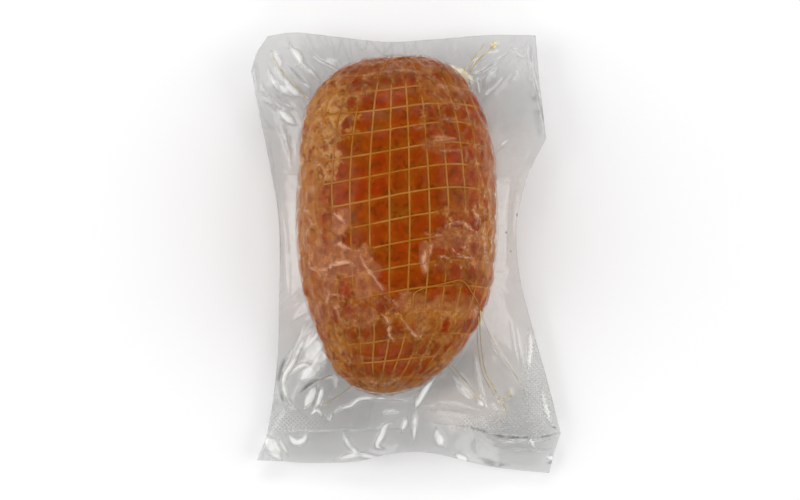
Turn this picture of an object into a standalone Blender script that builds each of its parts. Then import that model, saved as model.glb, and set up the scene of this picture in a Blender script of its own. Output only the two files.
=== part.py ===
"""Smoked chicken breast in an elastic net, sealed in a clear vacuum bag.

Metres, +Z up. The pack lies on its back with the shown side up, and +Y points to its blunt end.
The origin is on the table, under the middle of the bag. A sealed bag can't be told apart from what
it holds, so the whole pack is one solid: the netted breast in the film that is drawn tight over it,
and the flat margin of welded film all round.
"""

import math

import bmesh
import bpy
import numpy as np
from mathutils import Vector, noise

MM = 0.001

# The netted breast. Its outline seen from above and its section across are superellipses:
# power 2 is an ellipse, and a higher power is squarer. The rise and the drop are from the girth.
BREAST_LENGTH = 181 * MM
BREAST_WIDTH = 105.5 * MM
BREAST_CENTRE = Vector((-5.7 * MM, 15.2 * MM))
GIRTH_LEVEL = 31 * MM
CROWN_RISE = 38 * MM
BELLY_DROP = 33.5 * MM
BLUNT_END_POWER = 2.7
NARROW_END_POWER = 2.0
SECTION_POWER = 2.15
THICKNESS_TAPER = 1.15

# What makes it uneven: the narrow end bends to the left, the meat has shallow hollows and swells,
# and thick fat lies over the left shoulder
TIP_BEND = -7 * MM
TIP_BEND_START = 0.55
UNEVEN_HEIGHT = 2.2 * MM
UNEVEN_SIZE = 42 * MM
UNEVEN_SEED = Vector((3.1, 7.7, 1.9))
SHOULDER_PLACE = Vector((-46 * MM, 76 * MM, 36 * MM))
SHOULDER_SIZE = 21 * MM
SHOULDER_HEIGHT = 4 * MM

# The elastic net: threads run along the breast and in rings round it, and the meat swells in each
# mesh. The rings lie nearer the blunt end than even spacing, run up to the right and bow at the sides.
THREADS_ALONG = 28
THREAD_TURN = -0.117
RINGS_ROUND = 19
RING_SHIFT = 0.08
RING_TILT = 0.22
RING_TILT_FADE = 0.63
RING_BOW = 0.035
SWELL = 1.6 * MM
FACES_ACROSS_MESH = 3

# The flat margin of the bag: two films, welded and creased. It droops from the girth to the edge,
# and a thick web fills the gap where the films leave the breast.
MARGIN_THICKNESS = 0.9 * MM
WEB_THICKNESS = 9 * MM
WEB_REACH = 5 * MM
MARGIN_LEVEL = 28 * MM
MARGIN_DROOP_POWER = 1.5
MARGIN_TUCK = 0.86
MARGIN_STEPS = 5
EDGE_STEP = 10 * MM

# The bag's edge as it lies: x, y and height over the table, in mm. The film shrinks in waves
# between its stiff corners, so each side is a list of its own that ends at a corner.
TOP_LEFT = (-76, 119, 23)
TOP_RIGHT = (70, 119.8, 20)
RIGHT_SHOULDER = (75.3, 63, 26)
SEAL_RIGHT = (85, -99, 9)
BOTTOM_RIGHT = (78.7, -121.25, 6)
BOTTOM_LEFT = (-83, -113.6, 11)
LEFT_SHOULDER = (-85, 100, 22)
BAG_SIDES = (
    (TOP_LEFT, (-61, 121.25, 21), (-39, 119.3, 18), (-11, 116.8, 16), (13, 118, 16),
     (45, 120.3, 18), TOP_RIGHT),
    (TOP_RIGHT, (71.7, 100, 20), (73.4, 82, 23), RIGHT_SHOULDER),
    (RIGHT_SHOULDER, (66, 44, 23), (61, 24, 20), (59.7, 6, 19), (62, -14, 18), (67, -34, 16),
     (79, -76, 12), SEAL_RIGHT),
    (SEAL_RIGHT, (82, -108, 8), BOTTOM_RIGHT),
    (BOTTOM_RIGHT, (62, -119.6, 7), (45, -117, 10), (18, -109.8, 17), (3, -108, 19), (-12, -110, 16),
     (-28, -114.2, 12), (-52, -115.3, 9), (-71, -114.4, 9), BOTTOM_LEFT),
    (BOTTOM_LEFT, (-77, -97, 11), (-72, -65, 14), (-70.2, -32, 18), (-70, 16, 20), (-75, 48, 20),
     (-81.5, 80, 20), LEFT_SHOULDER),
    (LEFT_SHOULDER, (-82.5, 109, 23), TOP_LEFT),
)

# How finely the outlines are read before they are divided evenly, and the join's weld
OUTLINE_SAMPLES = 600
REACH_SAMPLES = 181
CURVE_STEPS = 12
WELD = 0.01 * MM


def smooth(share):
    """0 to 1 with a soft start and end."""
    share = min(1.0, max(0.0, share))
    return share * share * (3 - 2 * share)


def even_steps(points, count):
    """The points at equal distances along a line, from its first to its last."""
    points = np.asarray(points, float)
    walked = np.concatenate(([0.0], np.cumsum(np.linalg.norm(np.diff(points, axis=0), axis=1))))
    at = np.linspace(0.0, walked[-1], count)
    return np.column_stack([np.interp(at, walked, column) for column in points.T])


def half_outline(angle):
    """Along (-1 narrow end, 1 blunt end) and width (0 to 1) of the breast's outline seen from above."""
    power = BLUNT_END_POWER if angle > 0 else NARROW_END_POWER
    return math.copysign(abs(math.sin(angle)) ** (2 / power), angle), abs(math.cos(angle)) ** (2 / power)


def width_at(along):
    """The width (0 to 1) of that outline at a place along the breast."""
    power = BLUNT_END_POWER if along > 0 else NARROW_END_POWER
    return max(0.0, 1 - abs(along) ** power) ** (1 / power)


def profile_stations():
    """The place along the breast of each face line, from the narrow tip to the blunt one.

    The lines are evenly spaced over the meat, as the rings of a stretched net are.
    """
    angles = np.linspace(-math.pi / 2, math.pi / 2, OUTLINE_SAMPLES)
    line = [half_outline(a) for a in angles]
    sized = [(along * BREAST_LENGTH / 2, width * BREAST_WIDTH / 2) for along, width in line]
    even = even_steps(sized, RINGS_ROUND * FACES_ACROSS_MESH + 1)
    return [min(1.0, max(-1.0, y / (BREAST_LENGTH / 2))) for y, _ in even]


def section_stations():
    """Across and up (each -1 to 1) at each face line round the middle section, evenly spaced."""
    angles = np.linspace(THREAD_TURN, THREAD_TURN + 2 * math.pi, OUTLINE_SAMPLES)
    across = np.sign(np.cos(angles)) * np.abs(np.cos(angles)) ** (2 / SECTION_POWER)
    up = np.sign(np.sin(angles)) * np.abs(np.sin(angles)) ** (2 / SECTION_POWER)
    heights = np.where(up > 0, up * CROWN_RISE, up * BELLY_DROP)
    sized = np.column_stack([across * BREAST_WIDTH / 2, heights])
    even = even_steps(sized, THREADS_ALONG * FACES_ACROSS_MESH + 1)
    return [(x / (BREAST_WIDTH / 2), z / (CROWN_RISE if z > 0 else BELLY_DROP)) for x, z in even[:-1]]


def breast_point(along, across, up):
    """The place of a point on the smooth breast. The rings of the net run up to the right over it."""
    tilt = RING_TILT * across * (1 - RING_TILT_FADE * across * across) * BREAST_WIDTH / BREAST_LENGTH
    along += (RING_SHIFT + tilt - RING_BOW * across * across) * (1 - along * along)
    width = width_at(along)
    x = across * width * BREAST_WIDTH / 2
    x += TIP_BEND * smooth((-along - TIP_BEND_START) / (1 - TIP_BEND_START))
    y = along * BREAST_LENGTH / 2
    z = up * width**THICKNESS_TAPER * (CROWN_RISE if up > 0 else BELLY_DROP)
    return Vector((BREAST_CENTRE.x + x, BREAST_CENTRE.y + y, GIRTH_LEVEL + z))


def material(name, colour, roughness, alpha=1.0):
    made = bpy.data.materials.new(name)
    made.use_nodes = True
    shader = made.node_tree.nodes["Principled BSDF"]
    shader.inputs["Base Color"].default_value = (*colour, 1.0)
    shader.inputs["Roughness"].default_value = roughness
    shader.inputs["Metallic"].default_value = 0.0
    shader.inputs["Alpha"].default_value = alpha
    return made


def new_object(name, mesh, collection, finish):
    made = bpy.data.objects.new(name, mesh)
    collection.objects.link(made)
    mesh.materials.append(finish)
    return made


def make_breast(collection, finish):
    """The breast from a sphere.

    The sphere's meridians become the net's long threads and its circles the net's rings.
    """
    profile, section = profile_stations(), section_stations()
    bm = bmesh.new()
    bmesh.ops.create_uvsphere(bm, u_segments=len(section), v_segments=len(profile) - 1, radius=1.0)
    swell = bm.verts.layers.float.new("swell")
    for vertex in bm.verts:
        sphere_z = min(1.0, max(-1.0, vertex.co.z))
        ring = round((math.asin(sphere_z) / math.pi + 0.5) * (len(profile) - 1))
        thread = round(math.atan2(vertex.co.x, vertex.co.y) / (2 * math.pi) * len(section)) % len(section)
        across, up = section[thread]
        vertex.co = breast_point(profile[ring], across, up)
        from_ring = abs(math.sin(math.pi * ring / FACES_ACROSS_MESH))
        from_thread = abs(math.sin(math.pi * thread / FACES_ACROSS_MESH))
        vertex[swell] = from_ring * from_thread * smooth(width_at(profile[ring]))
    bm.normal_update()
    moves = []
    for vertex in bm.verts:
        uneven = UNEVEN_HEIGHT * noise.noise(vertex.co / UNEVEN_SIZE + UNEVEN_SEED)
        from_shoulder = (vertex.co - SHOULDER_PLACE).length / SHOULDER_SIZE
        uneven += SHOULDER_HEIGHT * math.exp(-from_shoulder * from_shoulder)
        moves.append(vertex.normal * (SWELL * vertex[swell] + uneven))
    for vertex, move in zip(bm.verts, moves):
        vertex.co += move
        vertex.co.z = max(0.0, vertex.co.z)
    mesh = bpy.data.meshes.new("netted_breast")
    bm.to_mesh(mesh)
    bm.free()
    return new_object("netted_breast", mesh, collection, finish)


def curve_through(points, steps_per_span):
    """Points on a smooth line through the given ones, which it starts and ends at."""
    spots = [Vector(p) * MM for p in points]
    spots = [2 * spots[0] - spots[1], *spots, 2 * spots[-1] - spots[-2]]
    line = []
    for before, start, end, after in zip(spots, spots[1:], spots[2:], spots[3:]):
        for step in range(steps_per_span):
            t = step / steps_per_span
            line.append(
                0.5 * (2 * start + (end - before) * t + (2 * before - 5 * start + 4 * end - after) * t * t
                       + (3 * start - before - 3 * end + after) * t * t * t)
            )
    return [*line, spots[-2]]


def bag_edge():
    """The bag's edge as evenly spaced points, clockwise from above, with its corners kept."""
    line = []
    for side in BAG_SIDES:
        drawn = curve_through(side, CURVE_STEPS)
        length = sum((b - a).length for a, b in zip(drawn, drawn[1:]))
        line.extend(even_steps(drawn, max(2, round(length / EDGE_STEP)) + 1)[:-1])
    return [Vector(p) for p in line]


def breast_reach(direction):
    """How far the breast's outline lies from its centre in a direction seen from above."""
    bearing = math.atan2(direction.y, direction.x)
    angles = np.linspace(-math.pi / 2, math.pi / 2, REACH_SAMPLES)
    outline = [half_outline(a) for a in angles]
    right = [(w * BREAST_WIDTH / 2, t * BREAST_LENGTH / 2) for t, w in outline]
    outline = right + [(-x, y) for x, y in reversed(right)]
    bearings = np.unwrap([math.atan2(y, x) for x, y in outline])
    reaches = [math.hypot(x, y) for x, y in outline]
    turned = bearings[0] + (bearing - bearings[0]) % (2 * math.pi)
    return float(np.interp(turned, bearings, reaches, period=2 * math.pi))


def make_margin(collection, finish):
    """The film margin: a grid bent into a ring, from inside the breast out to the bag's edge, then thickened.

    It is thick where it runs up against the breast, which fills the gap between the two films there.
    """
    edge = bag_edge()
    bm = bmesh.new()
    bmesh.ops.create_grid(bm, x_segments=len(edge), y_segments=MARGIN_STEPS, size=0.5)
    weight = bm.verts.layers.deform.new()
    for vertex in bm.verts:
        turn = round((vertex.co.x + 0.5) * len(edge)) % len(edge)
        share = vertex.co.y + 0.5
        outer = edge[turn]
        away = Vector((outer.x, outer.y)) - BREAST_CENTRE
        reach = breast_reach(away)
        inner = reach * MARGIN_TUCK
        distance = inner + (away.length - inner) * share
        place = BREAST_CENTRE + away.normalized() * distance
        droop = 1 - (1 - share) ** MARGIN_DROOP_POWER
        vertex.co = (place.x, place.y, MARGIN_LEVEL + (outer.z - MARGIN_LEVEL) * droop)
        web = WEB_THICKNESS * math.exp(-max(0.0, distance - reach) / WEB_REACH)
        vertex[weight][0] = max(MARGIN_THICKNESS, web) / WEB_THICKNESS
    bmesh.ops.remove_doubles(bm, verts=bm.verts, dist=WELD)
    bmesh.ops.recalc_face_normals(bm, faces=bm.faces)
    mesh = bpy.data.meshes.new("film_margin")
    bm.to_mesh(mesh)
    bm.free()
    margin = new_object("film_margin", mesh, collection, finish)
    margin.vertex_groups.new(name="web")
    wall = margin.modifiers.new("two_films", "SOLIDIFY")
    wall.thickness = WEB_THICKNESS
    wall.offset = 0.0
    wall.vertex_group = "web"
    return margin


def join(name, body, extra, collection):
    """One closed solid from two that overlap. The two are then removed."""
    union = body.modifiers.new("join", "BOOLEAN")
    union.operation = "UNION"
    union.object = extra
    depsgraph = bpy.context.evaluated_depsgraph_get()
    mesh = bpy.data.meshes.new_from_object(body.evaluated_get(depsgraph))
    mesh.name = name
    bm = bmesh.new()
    bm.from_mesh(mesh)
    bmesh.ops.remove_doubles(bm, verts=bm.verts, dist=WELD)
    bmesh.ops.triangulate(bm, faces=bm.faces)
    bm.to_mesh(mesh)
    bm.free()
    mesh.shade_smooth()
    joined = bpy.data.objects.new(name, mesh)
    collection.objects.link(joined)
    for used in (body, extra):
        bpy.data.objects.remove(used)
    return joined


def main():
    for old in list(bpy.data.objects):
        bpy.data.objects.remove(old)
    parts = bpy.data.collections.new("smoked_chicken_breast_pack")
    bpy.context.scene.collection.children.link(parts)
    smoked = material("smoked_meat_under_film", (0.30, 0.075, 0.012), 0.3)
    film = material("clear_film", (0.52, 0.52, 0.50), 0.12, 0.35)
    breast = make_breast(parts, smoked)
    margin = make_margin(parts, film)
    pack = join("vacuum_pack", breast, margin, parts)
    print("faces", len(pack.data.polygons), "size mm", [round(side / MM, 1) for side in pack.dimensions])


main()
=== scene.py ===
# %% [markdown]
# # Smoked chicken breast in a vacuum bag
# The pack has four things to make: the smoked meat, the elastic net round it, the clear film that
# is drawn tight over both and welded flat round them, and the loose thread ends caught in the bag.
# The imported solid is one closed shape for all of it, so every piece here replaces that one node.

# %% Frame
import math

import bmesh
import bpy
import numpy as np
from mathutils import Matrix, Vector, noise


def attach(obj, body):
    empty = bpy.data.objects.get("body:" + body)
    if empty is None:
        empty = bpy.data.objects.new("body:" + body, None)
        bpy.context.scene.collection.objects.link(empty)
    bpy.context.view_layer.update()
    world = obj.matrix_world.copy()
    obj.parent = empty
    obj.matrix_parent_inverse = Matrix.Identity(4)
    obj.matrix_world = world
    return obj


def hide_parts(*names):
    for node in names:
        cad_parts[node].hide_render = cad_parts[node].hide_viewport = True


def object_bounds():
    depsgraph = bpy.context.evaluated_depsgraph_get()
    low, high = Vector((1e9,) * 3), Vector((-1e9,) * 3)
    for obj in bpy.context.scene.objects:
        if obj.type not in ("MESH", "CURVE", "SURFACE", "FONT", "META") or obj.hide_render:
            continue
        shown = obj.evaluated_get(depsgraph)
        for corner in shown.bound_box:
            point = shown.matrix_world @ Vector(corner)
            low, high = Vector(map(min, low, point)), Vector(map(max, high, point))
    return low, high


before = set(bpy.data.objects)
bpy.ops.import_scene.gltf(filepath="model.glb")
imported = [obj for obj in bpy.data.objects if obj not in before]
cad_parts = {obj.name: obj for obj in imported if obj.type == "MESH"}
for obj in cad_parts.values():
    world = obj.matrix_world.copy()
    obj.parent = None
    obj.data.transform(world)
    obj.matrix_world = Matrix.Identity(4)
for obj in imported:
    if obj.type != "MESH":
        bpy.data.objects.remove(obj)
cad_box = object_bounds()
MM = 0.001
PACK = "vacuum_pack"
print("solid box mm", [round(c / MM, 1) for corner in cad_box for c in corner])

# %% [markdown]
# ## Camera, floor and lights
# The camera looks straight down from 0.9 m, and its lens is worked out from the real size of one
# pixel at the height of the bag. Clear film only shows by what it mirrors, so the lights are big
# soft boxes at the sides and nothing bright hangs overhead: flat film stays grey and every crease
# that leans towards a box turns white.

# %% Camera
CAMERA_HEIGHT = 900 * MM
CAMERA_OVER = (-4.0 * MM, 2.5 * MM)
PIXEL_SIZE = 0.55 * MM
PIXEL_LEVEL = 15 * MM
IMAGE_WIDTH = 800

camera = bpy.data.cameras.new("camera")
camera.sensor_width = 36.0
camera.lens = camera.sensor_width * (CAMERA_HEIGHT - PIXEL_LEVEL) / (IMAGE_WIDTH * PIXEL_SIZE)
camera_object = bpy.data.objects.new("camera", camera)
camera_object.location = (*CAMERA_OVER, CAMERA_HEIGHT)
bpy.context.scene.collection.objects.link(camera_object)
bpy.context.scene.camera = camera_object
bpy.context.scene.view_settings.view_transform = "Standard"
print("lens mm", round(camera.lens, 1))

# %% Floor
FLOOR_SIZE = 8.0
FLOOR_COLOUR = (0.95, 0.95, 0.95)
FLOOR_ROUGHNESS = 0.9
FLOOR_SHEEN = 0.1


def link(name, data):
    """A new object in the scene, at the origin."""
    made = bpy.data.objects.new(name, data)
    bpy.context.scene.collection.objects.link(made)
    return made


floor_mesh = bpy.data.meshes.new("floor")
floor_shape = bmesh.new()
bmesh.ops.create_grid(floor_shape, x_segments=1, y_segments=1, size=FLOOR_SIZE / 2)
floor_shape.to_mesh(floor_mesh)
floor_shape.free()
floor = link("floor", floor_mesh)
floor_finish = bpy.data.materials.new("pale_floor")
floor_finish.use_nodes = True
floor_shader = floor_finish.node_tree.nodes["Principled BSDF"].inputs
floor_shader["Base Color"].default_value = (*FLOOR_COLOUR, 1)
floor_shader["Roughness"].default_value = FLOOR_ROUGHNESS
floor_shader["Specular IOR Level"].default_value = FLOOR_SHEEN
floor_mesh.materials.append(floor_finish)

# %% Lights
# Where each soft box hangs (bearing from +X and angle from straight up, in degrees), how far off,
# its size and its power in watts
SOFT_BOXES = (
    ("left_box", 180, 54, 1.6, (1.1, 1.4), 17),
    ("right_box", 0, 58, 1.7, (1.4, 1.6), 20),
    ("far_box", 90, 50, 1.6, (1.0, 0.5), 9),
    ("near_box", 270, 56, 1.6, (1.0, 0.4), 6),
)
WORLD_STRENGTH = 0.12

for name, bearing, lean, distance, size, watts in SOFT_BOXES:
    lamp = bpy.data.lights.new(name, "AREA")
    lamp.shape = "RECTANGLE"
    lamp.size, lamp.size_y = size
    lamp.energy = watts
    away = Vector((math.cos(math.radians(bearing)), math.sin(math.radians(bearing)), 0))
    place = away * math.sin(math.radians(lean)) + Vector((0, 0, math.cos(math.radians(lean))))
    box = link(name, lamp)
    box.location = place * distance
    box.rotation_euler = place.to_track_quat("Z", "Y").to_euler()
print("soft boxes", len(SOFT_BOXES))

world = bpy.data.worlds.new("studio")
world.use_nodes = True
world.node_tree.nodes["Background"].inputs["Color"].default_value = (1, 1, 1, 1)
world.node_tree.nodes["Background"].inputs["Strength"].default_value = WORLD_STRENGTH
bpy.context.scene.world = world

# %% [markdown]
# ## The form of the breast
# A netted breast is an egg with one blunt end. Its outline from above and its section across are
# superellipses: power 2 is an ellipse, and more is squarer. The net divides it into meshes, so a
# place on it is given in net steps: `round_` counts long threads round the section and `along`
# counts rings from the narrow tip. The same steps then serve the meat, the net and the film.

# %% Breast sizes
BREAST_LENGTH = 181 * MM
BREAST_WIDTH = 105.5 * MM
BREAST_CENTRE = Vector((-5.7 * MM, 15.2 * MM))
GIRTH_LEVEL = 31 * MM
CROWN_RISE = 38 * MM
BELLY_DROP = 33.5 * MM
BLUNT_END_POWER = 2.7
NARROW_END_POWER = 2.0
SECTION_POWER = 2.15
THICKNESS_TAPER = 1.15
TIP_BEND = -7 * MM
TIP_BEND_START = 0.55
UNEVEN_HEIGHT = 2.2 * MM
UNEVEN_SIZE = 42 * MM
UNEVEN_SEED = Vector((3.1, 7.7, 1.9))
SHOULDER_PLACE = np.array((-46 * MM, 76 * MM, 36 * MM))
SHOULDER_SIZE = 21 * MM
SHOULDER_HEIGHT = 4 * MM
THREADS_ALONG = 28
THREAD_TURN = -0.117
RINGS_ROUND = 19
RING_SHIFT = 0.08
RING_TILT = 0.22
RING_TILT_FADE = 0.63
RING_BOW = 0.035
OUTLINE_SAMPLES = 600
NORMAL_STEP = 0.02
TINY = 1e-12


# %% Outline and section
def smooth(share):
    """0 to 1 with a soft start and end."""
    share = np.clip(share, 0.0, 1.0)
    return share * share * (3 - 2 * share)


def walked(points):
    """The length of a line up to each of its points."""
    steps = np.linalg.norm(np.diff(np.asarray(points, float), axis=0), axis=1)
    return np.concatenate(([0.0], np.cumsum(steps)))


def outline_width(along):
    """The width (0 to 1) of the breast's outline from above, at -1 (narrow tip) to 1 (blunt end)."""
    power = np.where(along > 0, BLUNT_END_POWER, NARROW_END_POWER)
    return np.maximum(0.0, 1 - np.abs(along) ** power) ** (1 / power)


def profile_line():
    """Along (-1 to 1) and the length walked over the meat, from the narrow tip to the blunt end."""
    angles = np.linspace(-math.pi / 2, math.pi / 2, OUTLINE_SAMPLES)
    power = np.where(angles > 0, BLUNT_END_POWER, NARROW_END_POWER)
    along = np.sign(angles) * np.abs(np.sin(angles)) ** (2 / power)
    width = np.abs(np.cos(angles)) ** (2 / power)
    return along, walked(np.column_stack([along * BREAST_LENGTH / 2, width * BREAST_WIDTH / 2]))


def section_line():
    """Across and up (each -1 to 1) and the length walked round the middle section."""
    angles = np.linspace(THREAD_TURN, THREAD_TURN + 2 * math.pi, OUTLINE_SAMPLES)
    across = np.sign(np.cos(angles)) * np.abs(np.cos(angles)) ** (2 / SECTION_POWER)
    up = np.sign(np.sin(angles)) * np.abs(np.sin(angles)) ** (2 / SECTION_POWER)
    heights = np.where(up > 0, up * CROWN_RISE, up * BELLY_DROP)
    return across, up, walked(np.column_stack([across * BREAST_WIDTH / 2, heights]))


PROFILE = profile_line()
SECTION = section_line()
print("round the girth mm", round(SECTION[2][-1] / MM), "tip to end mm", round(PROFILE[1][-1] / MM))


# %% Breast surface
def egg_point(round_, along):
    """Places on the smooth egg for net steps round it and along it."""
    place = PROFILE[1][-1] * np.asarray(along, float) / RINGS_ROUND
    t = np.interp(place, PROFILE[1], PROFILE[0])
    turn = SECTION[2][-1] * (np.asarray(round_, float) / THREADS_ALONG % 1.0)
    across = np.interp(turn, SECTION[2], SECTION[0])
    up = np.interp(turn, SECTION[2], SECTION[1])
    tilt = RING_TILT * across * (1 - RING_TILT_FADE * across**2) * BREAST_WIDTH / BREAST_LENGTH
    t = t + (RING_SHIFT + tilt - RING_BOW * across**2) * (1 - t * t)
    width = outline_width(t)
    x = BREAST_CENTRE.x + across * width * BREAST_WIDTH / 2
    x = x + TIP_BEND * smooth((-t - TIP_BEND_START) / (1 - TIP_BEND_START))
    y = BREAST_CENTRE.y + t * BREAST_LENGTH / 2
    z = GIRTH_LEVEL + up * width**THICKNESS_TAPER * np.where(up > 0, CROWN_RISE, BELLY_DROP)
    return np.stack([x, y, z], axis=-1)


def egg_normal(round_, along):
    """The outward direction of the egg at net steps, from two short steps over it."""
    low, high = np.maximum(along - NORMAL_STEP, 0), np.minimum(along + NORMAL_STEP, RINGS_ROUND)
    across = egg_point(round_ + NORMAL_STEP, along) - egg_point(round_ - NORMAL_STEP, along)
    onward = egg_point(round_, high) - egg_point(round_, low)
    normal = np.cross(across, onward) * -1
    length = np.linalg.norm(normal, axis=-1, keepdims=True)
    tip = np.stack([0 * along, np.where(along > RINGS_ROUND / 2, 1.0, -1.0), 0 * along], axis=-1)
    return np.where(length > TINY, normal / np.maximum(length, TINY), tip)


def noise_at(points, size, seed):
    """Smooth noise from -1 to 1 at each point, with bumps of a size."""
    return np.array([noise.noise(Vector(p) / size + seed) for p in points])


def skin(round_, along, lift=0.0):
    """Places on the uneven breast for net steps, lifted off it by a height."""
    round_, along = np.asarray(round_, float), np.asarray(along, float)
    base = egg_point(round_, along)
    uneven = UNEVEN_HEIGHT * noise_at(base, UNEVEN_SIZE, UNEVEN_SEED)
    from_shoulder = np.linalg.norm(base - SHOULDER_PLACE, axis=-1) / SHOULDER_SIZE
    uneven = uneven + SHOULDER_HEIGHT * np.exp(-(from_shoulder**2))
    return base + egg_normal(round_, along) * (uneven + lift)[..., None]


crown = egg_point(np.array([7.0]), np.array([10.0]))[0]
print("a place near the crown mm", [round(float(c) / MM, 1) for c in crown])

# %% [markdown]
# ### Its mesh
# Meat and film need a vertex on every thread and several between. A sphere already has lines from
# pole to pole and circles across them, as a net has, so a sphere is made with a few of its lines to
# each mesh of the net, and its vertices are then moved to their places on the breast.

# %% Egg mesh
def egg_shape(per_mesh_round, per_mesh_along):
    """A sphere with lines along the net, and the net steps of its vertices."""
    bm = bmesh.new()
    turns, rows = THREADS_ALONG * per_mesh_round, RINGS_ROUND * per_mesh_along
    bmesh.ops.create_uvsphere(bm, u_segments=turns, v_segments=rows, radius=1.0)
    at = np.array([v.co for v in bm.verts])
    along = np.round((np.arcsin(np.clip(at[:, 2], -1, 1)) / math.pi + 0.5) * rows) / per_mesh_along
    round_ = np.round(np.arctan2(at[:, 0], at[:, 1]) / (2 * math.pi) * turns) % turns / per_mesh_round
    return bm, round_, along


def put(bm, places):
    """Moves a bmesh's vertices to places."""
    for vertex, place in zip(bm.verts, places):
        vertex.co = place


# %% Pieces of the pack
def dress(made):
    """Makes an object ride with the pack and stand for its solid."""
    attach(made, "root")
    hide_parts(PACK)
    return made


def piece(name, bm, finish):
    """A bmesh as a smooth piece of the pack, which rides with it and replaces its solid."""
    bmesh.ops.recalc_face_normals(bm, faces=bm.faces)
    mesh = bpy.data.meshes.new(name)
    bm.to_mesh(mesh)
    bm.free()
    mesh.materials.append(finish)
    mesh.shade_smooth()
    return dress(link(name, mesh))


def mark(made, name, values):
    """Keeps one number a vertex on a piece, for its finish to read."""
    made.data.attributes.new(name, "FLOAT", "POINT").data.foreach_set("value", values)


def net_map(bm, round_, along):
    """A UV map in net steps. Faces over the seam count on past the last thread."""
    layer = bm.loops.layers.uv.new("net")
    bm.verts.ensure_lookup_table()
    bm.verts.index_update()
    for face in bm.faces:
        turns = [round_[loop.vert.index] for loop in face.loops]
        over_seam = max(turns) - min(turns) > THREADS_ALONG / 2
        for loop, turn in zip(face.loops, turns):
            if over_seam and turn < THREADS_ALONG / 2:
                turn += THREADS_ALONG
            loop[layer].uv = (turn, along[loop.vert.index])


# %% [markdown]
# ## Lines and folds
# Threads, folds and the bag's edges are all smooth lines through a few points. A fold is a soft
# ridge along such a line, and its strength at each vertex also tells the finish where film is
# folded double and is painted white: partly the whiter doubled film, partly a painted highlight.

# %% Line helpers
CURVE_STEPS = 12
RIDGE_FADE = 0.4
RIDGE_REACH = 2.5
RIDGE_END_WIDTH = 0.3
RIDGE_SHARPNESS = 2.2


def curve_through(points, steps=CURVE_STEPS):
    """Points on a smooth line through the given ones, which it starts and ends at."""
    spots = np.asarray(points, float)
    spots = np.vstack([2 * spots[0] - spots[1], spots, 2 * spots[-1] - spots[-2]])
    line = []
    for before, start, end, after in zip(spots, spots[1:], spots[2:], spots[3:]):
        for t in np.arange(steps) / steps:
            bend = (2 * before - 5 * start + 4 * end - after) * t * t
            turn = (3 * start - before - 3 * end + after) * t**3
            line.append(0.5 * (2 * start + (end - before) * t + bend + turn))
    return np.array([*line, spots[-2]])


def ridge(places, width, points):
    """A soft ridge along a line seen from above: 1 on it, 0 beyond its width (mm), fading at its ends."""
    line = curve_through(points) * MM
    reach = RIDGE_REACH * width * MM
    near = np.all((places[:, :2] > line.min(0) - reach) & (places[:, :2] < line.max(0) + reach), axis=1)
    profile = np.zeros(len(places))
    spots = places[near][:, None, :2]
    start, span = line[:-1], np.diff(line, axis=0)
    share = np.clip(((spots - start) * span).sum(2) / (span**2).sum(1), 0, 1)
    gaps = np.linalg.norm(spots - start - share[..., None] * span, axis=2)
    closest = gaps.argmin(axis=1)
    rows = np.arange(len(closest))
    done = (closest + share[rows, closest]) / len(span)
    fade = smooth(np.minimum(done, 1 - done) / RIDGE_FADE)
    narrowed = width * MM * (RIDGE_END_WIDTH + (1 - RIDGE_END_WIDTH) * fade)
    profile[near] = fade**0.5 * np.exp(-((gaps[rows, closest] / narrowed) ** 2))
    return profile


def ridged(values):
    """Noise from -1 to 1 as sharp ridges from 0 to 1."""
    return 1 - np.minimum(1, np.abs(values) * RIDGE_SHARPNESS)


# %% [markdown]
# ## Shader helpers
# A node is made in one call: its settings, then its inputs as plain values or as other nodes'
# outputs. Patterns that more than one finish uses are node groups, which put out masks only.

# %% Node helpers
def node(tree, kind, settings=None, **inputs):
    """A shader node. Inputs go by name with _ for a space, or by place as i0, i1 and so on."""
    made = tree.nodes.new("ShaderNode" + kind)
    for name, value in (settings or {}).items():
        setattr(made, name, value)
    for name, value in inputs.items():
        by_place = name[0] == "i" and name[1:].isdigit()
        socket = made.inputs[int(name[1:])] if by_place else made.inputs[name.replace("_", " ")]
        if isinstance(value, bpy.types.NodeSocket):
            tree.links.new(value, socket)
        else:
            socket.default_value = value
    return made


def calc(tree, operation, first, second=0.0, clamp=False):
    """A sum on numbers."""
    return node(tree, "Math", {"operation": operation, "use_clamp": clamp}, i0=first, i1=second).outputs[0]


def times(tree, first, second):
    return calc(tree, "MULTIPLY", first, second)


def plus(tree, first, second):
    return calc(tree, "ADD", first, second)


def vector_calc(tree, operation, first, second=(0, 0, 0)):
    return node(tree, "VectorMath", {"operation": operation}, i0=first, i1=second).outputs[0]


def attribute(tree, name):
    """The number that a piece keeps at each vertex under a name."""
    return node(tree, "Attribute", {"attribute_name": name}).outputs["Fac"]


def between(tree, value, low, high, to_low=0.0, to_high=1.0):
    """A value's place between two others, with a soft start and end."""
    made = node(tree, "MapRange", {"interpolation_type": "SMOOTHSTEP"}, i0=value, i1=low, i2=high)
    made.inputs[3].default_value = to_low
    made.inputs[4].default_value = to_high
    return made.outputs[0]


def mix(tree, share, first, second):
    """A mix of two colours."""
    made = node(tree, "Mix", {"data_type": "RGBA"}, i0=share)
    for socket, colour in ((made.inputs[6], first), (made.inputs[7], second)):
        if isinstance(colour, bpy.types.NodeSocket):
            tree.links.new(colour, socket)
        else:
            socket.default_value = (*colour, 1)
    return made.outputs[2]


def noise_texture(tree, where, scale, detail=3.0, roughness=0.55, distortion=0.0):
    made = node(tree, "TexNoise", Vector=where, Scale=scale, Detail=detail, Roughness=roughness)
    made.inputs["Distortion"].default_value = distortion
    return made.outputs["Fac"]


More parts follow.
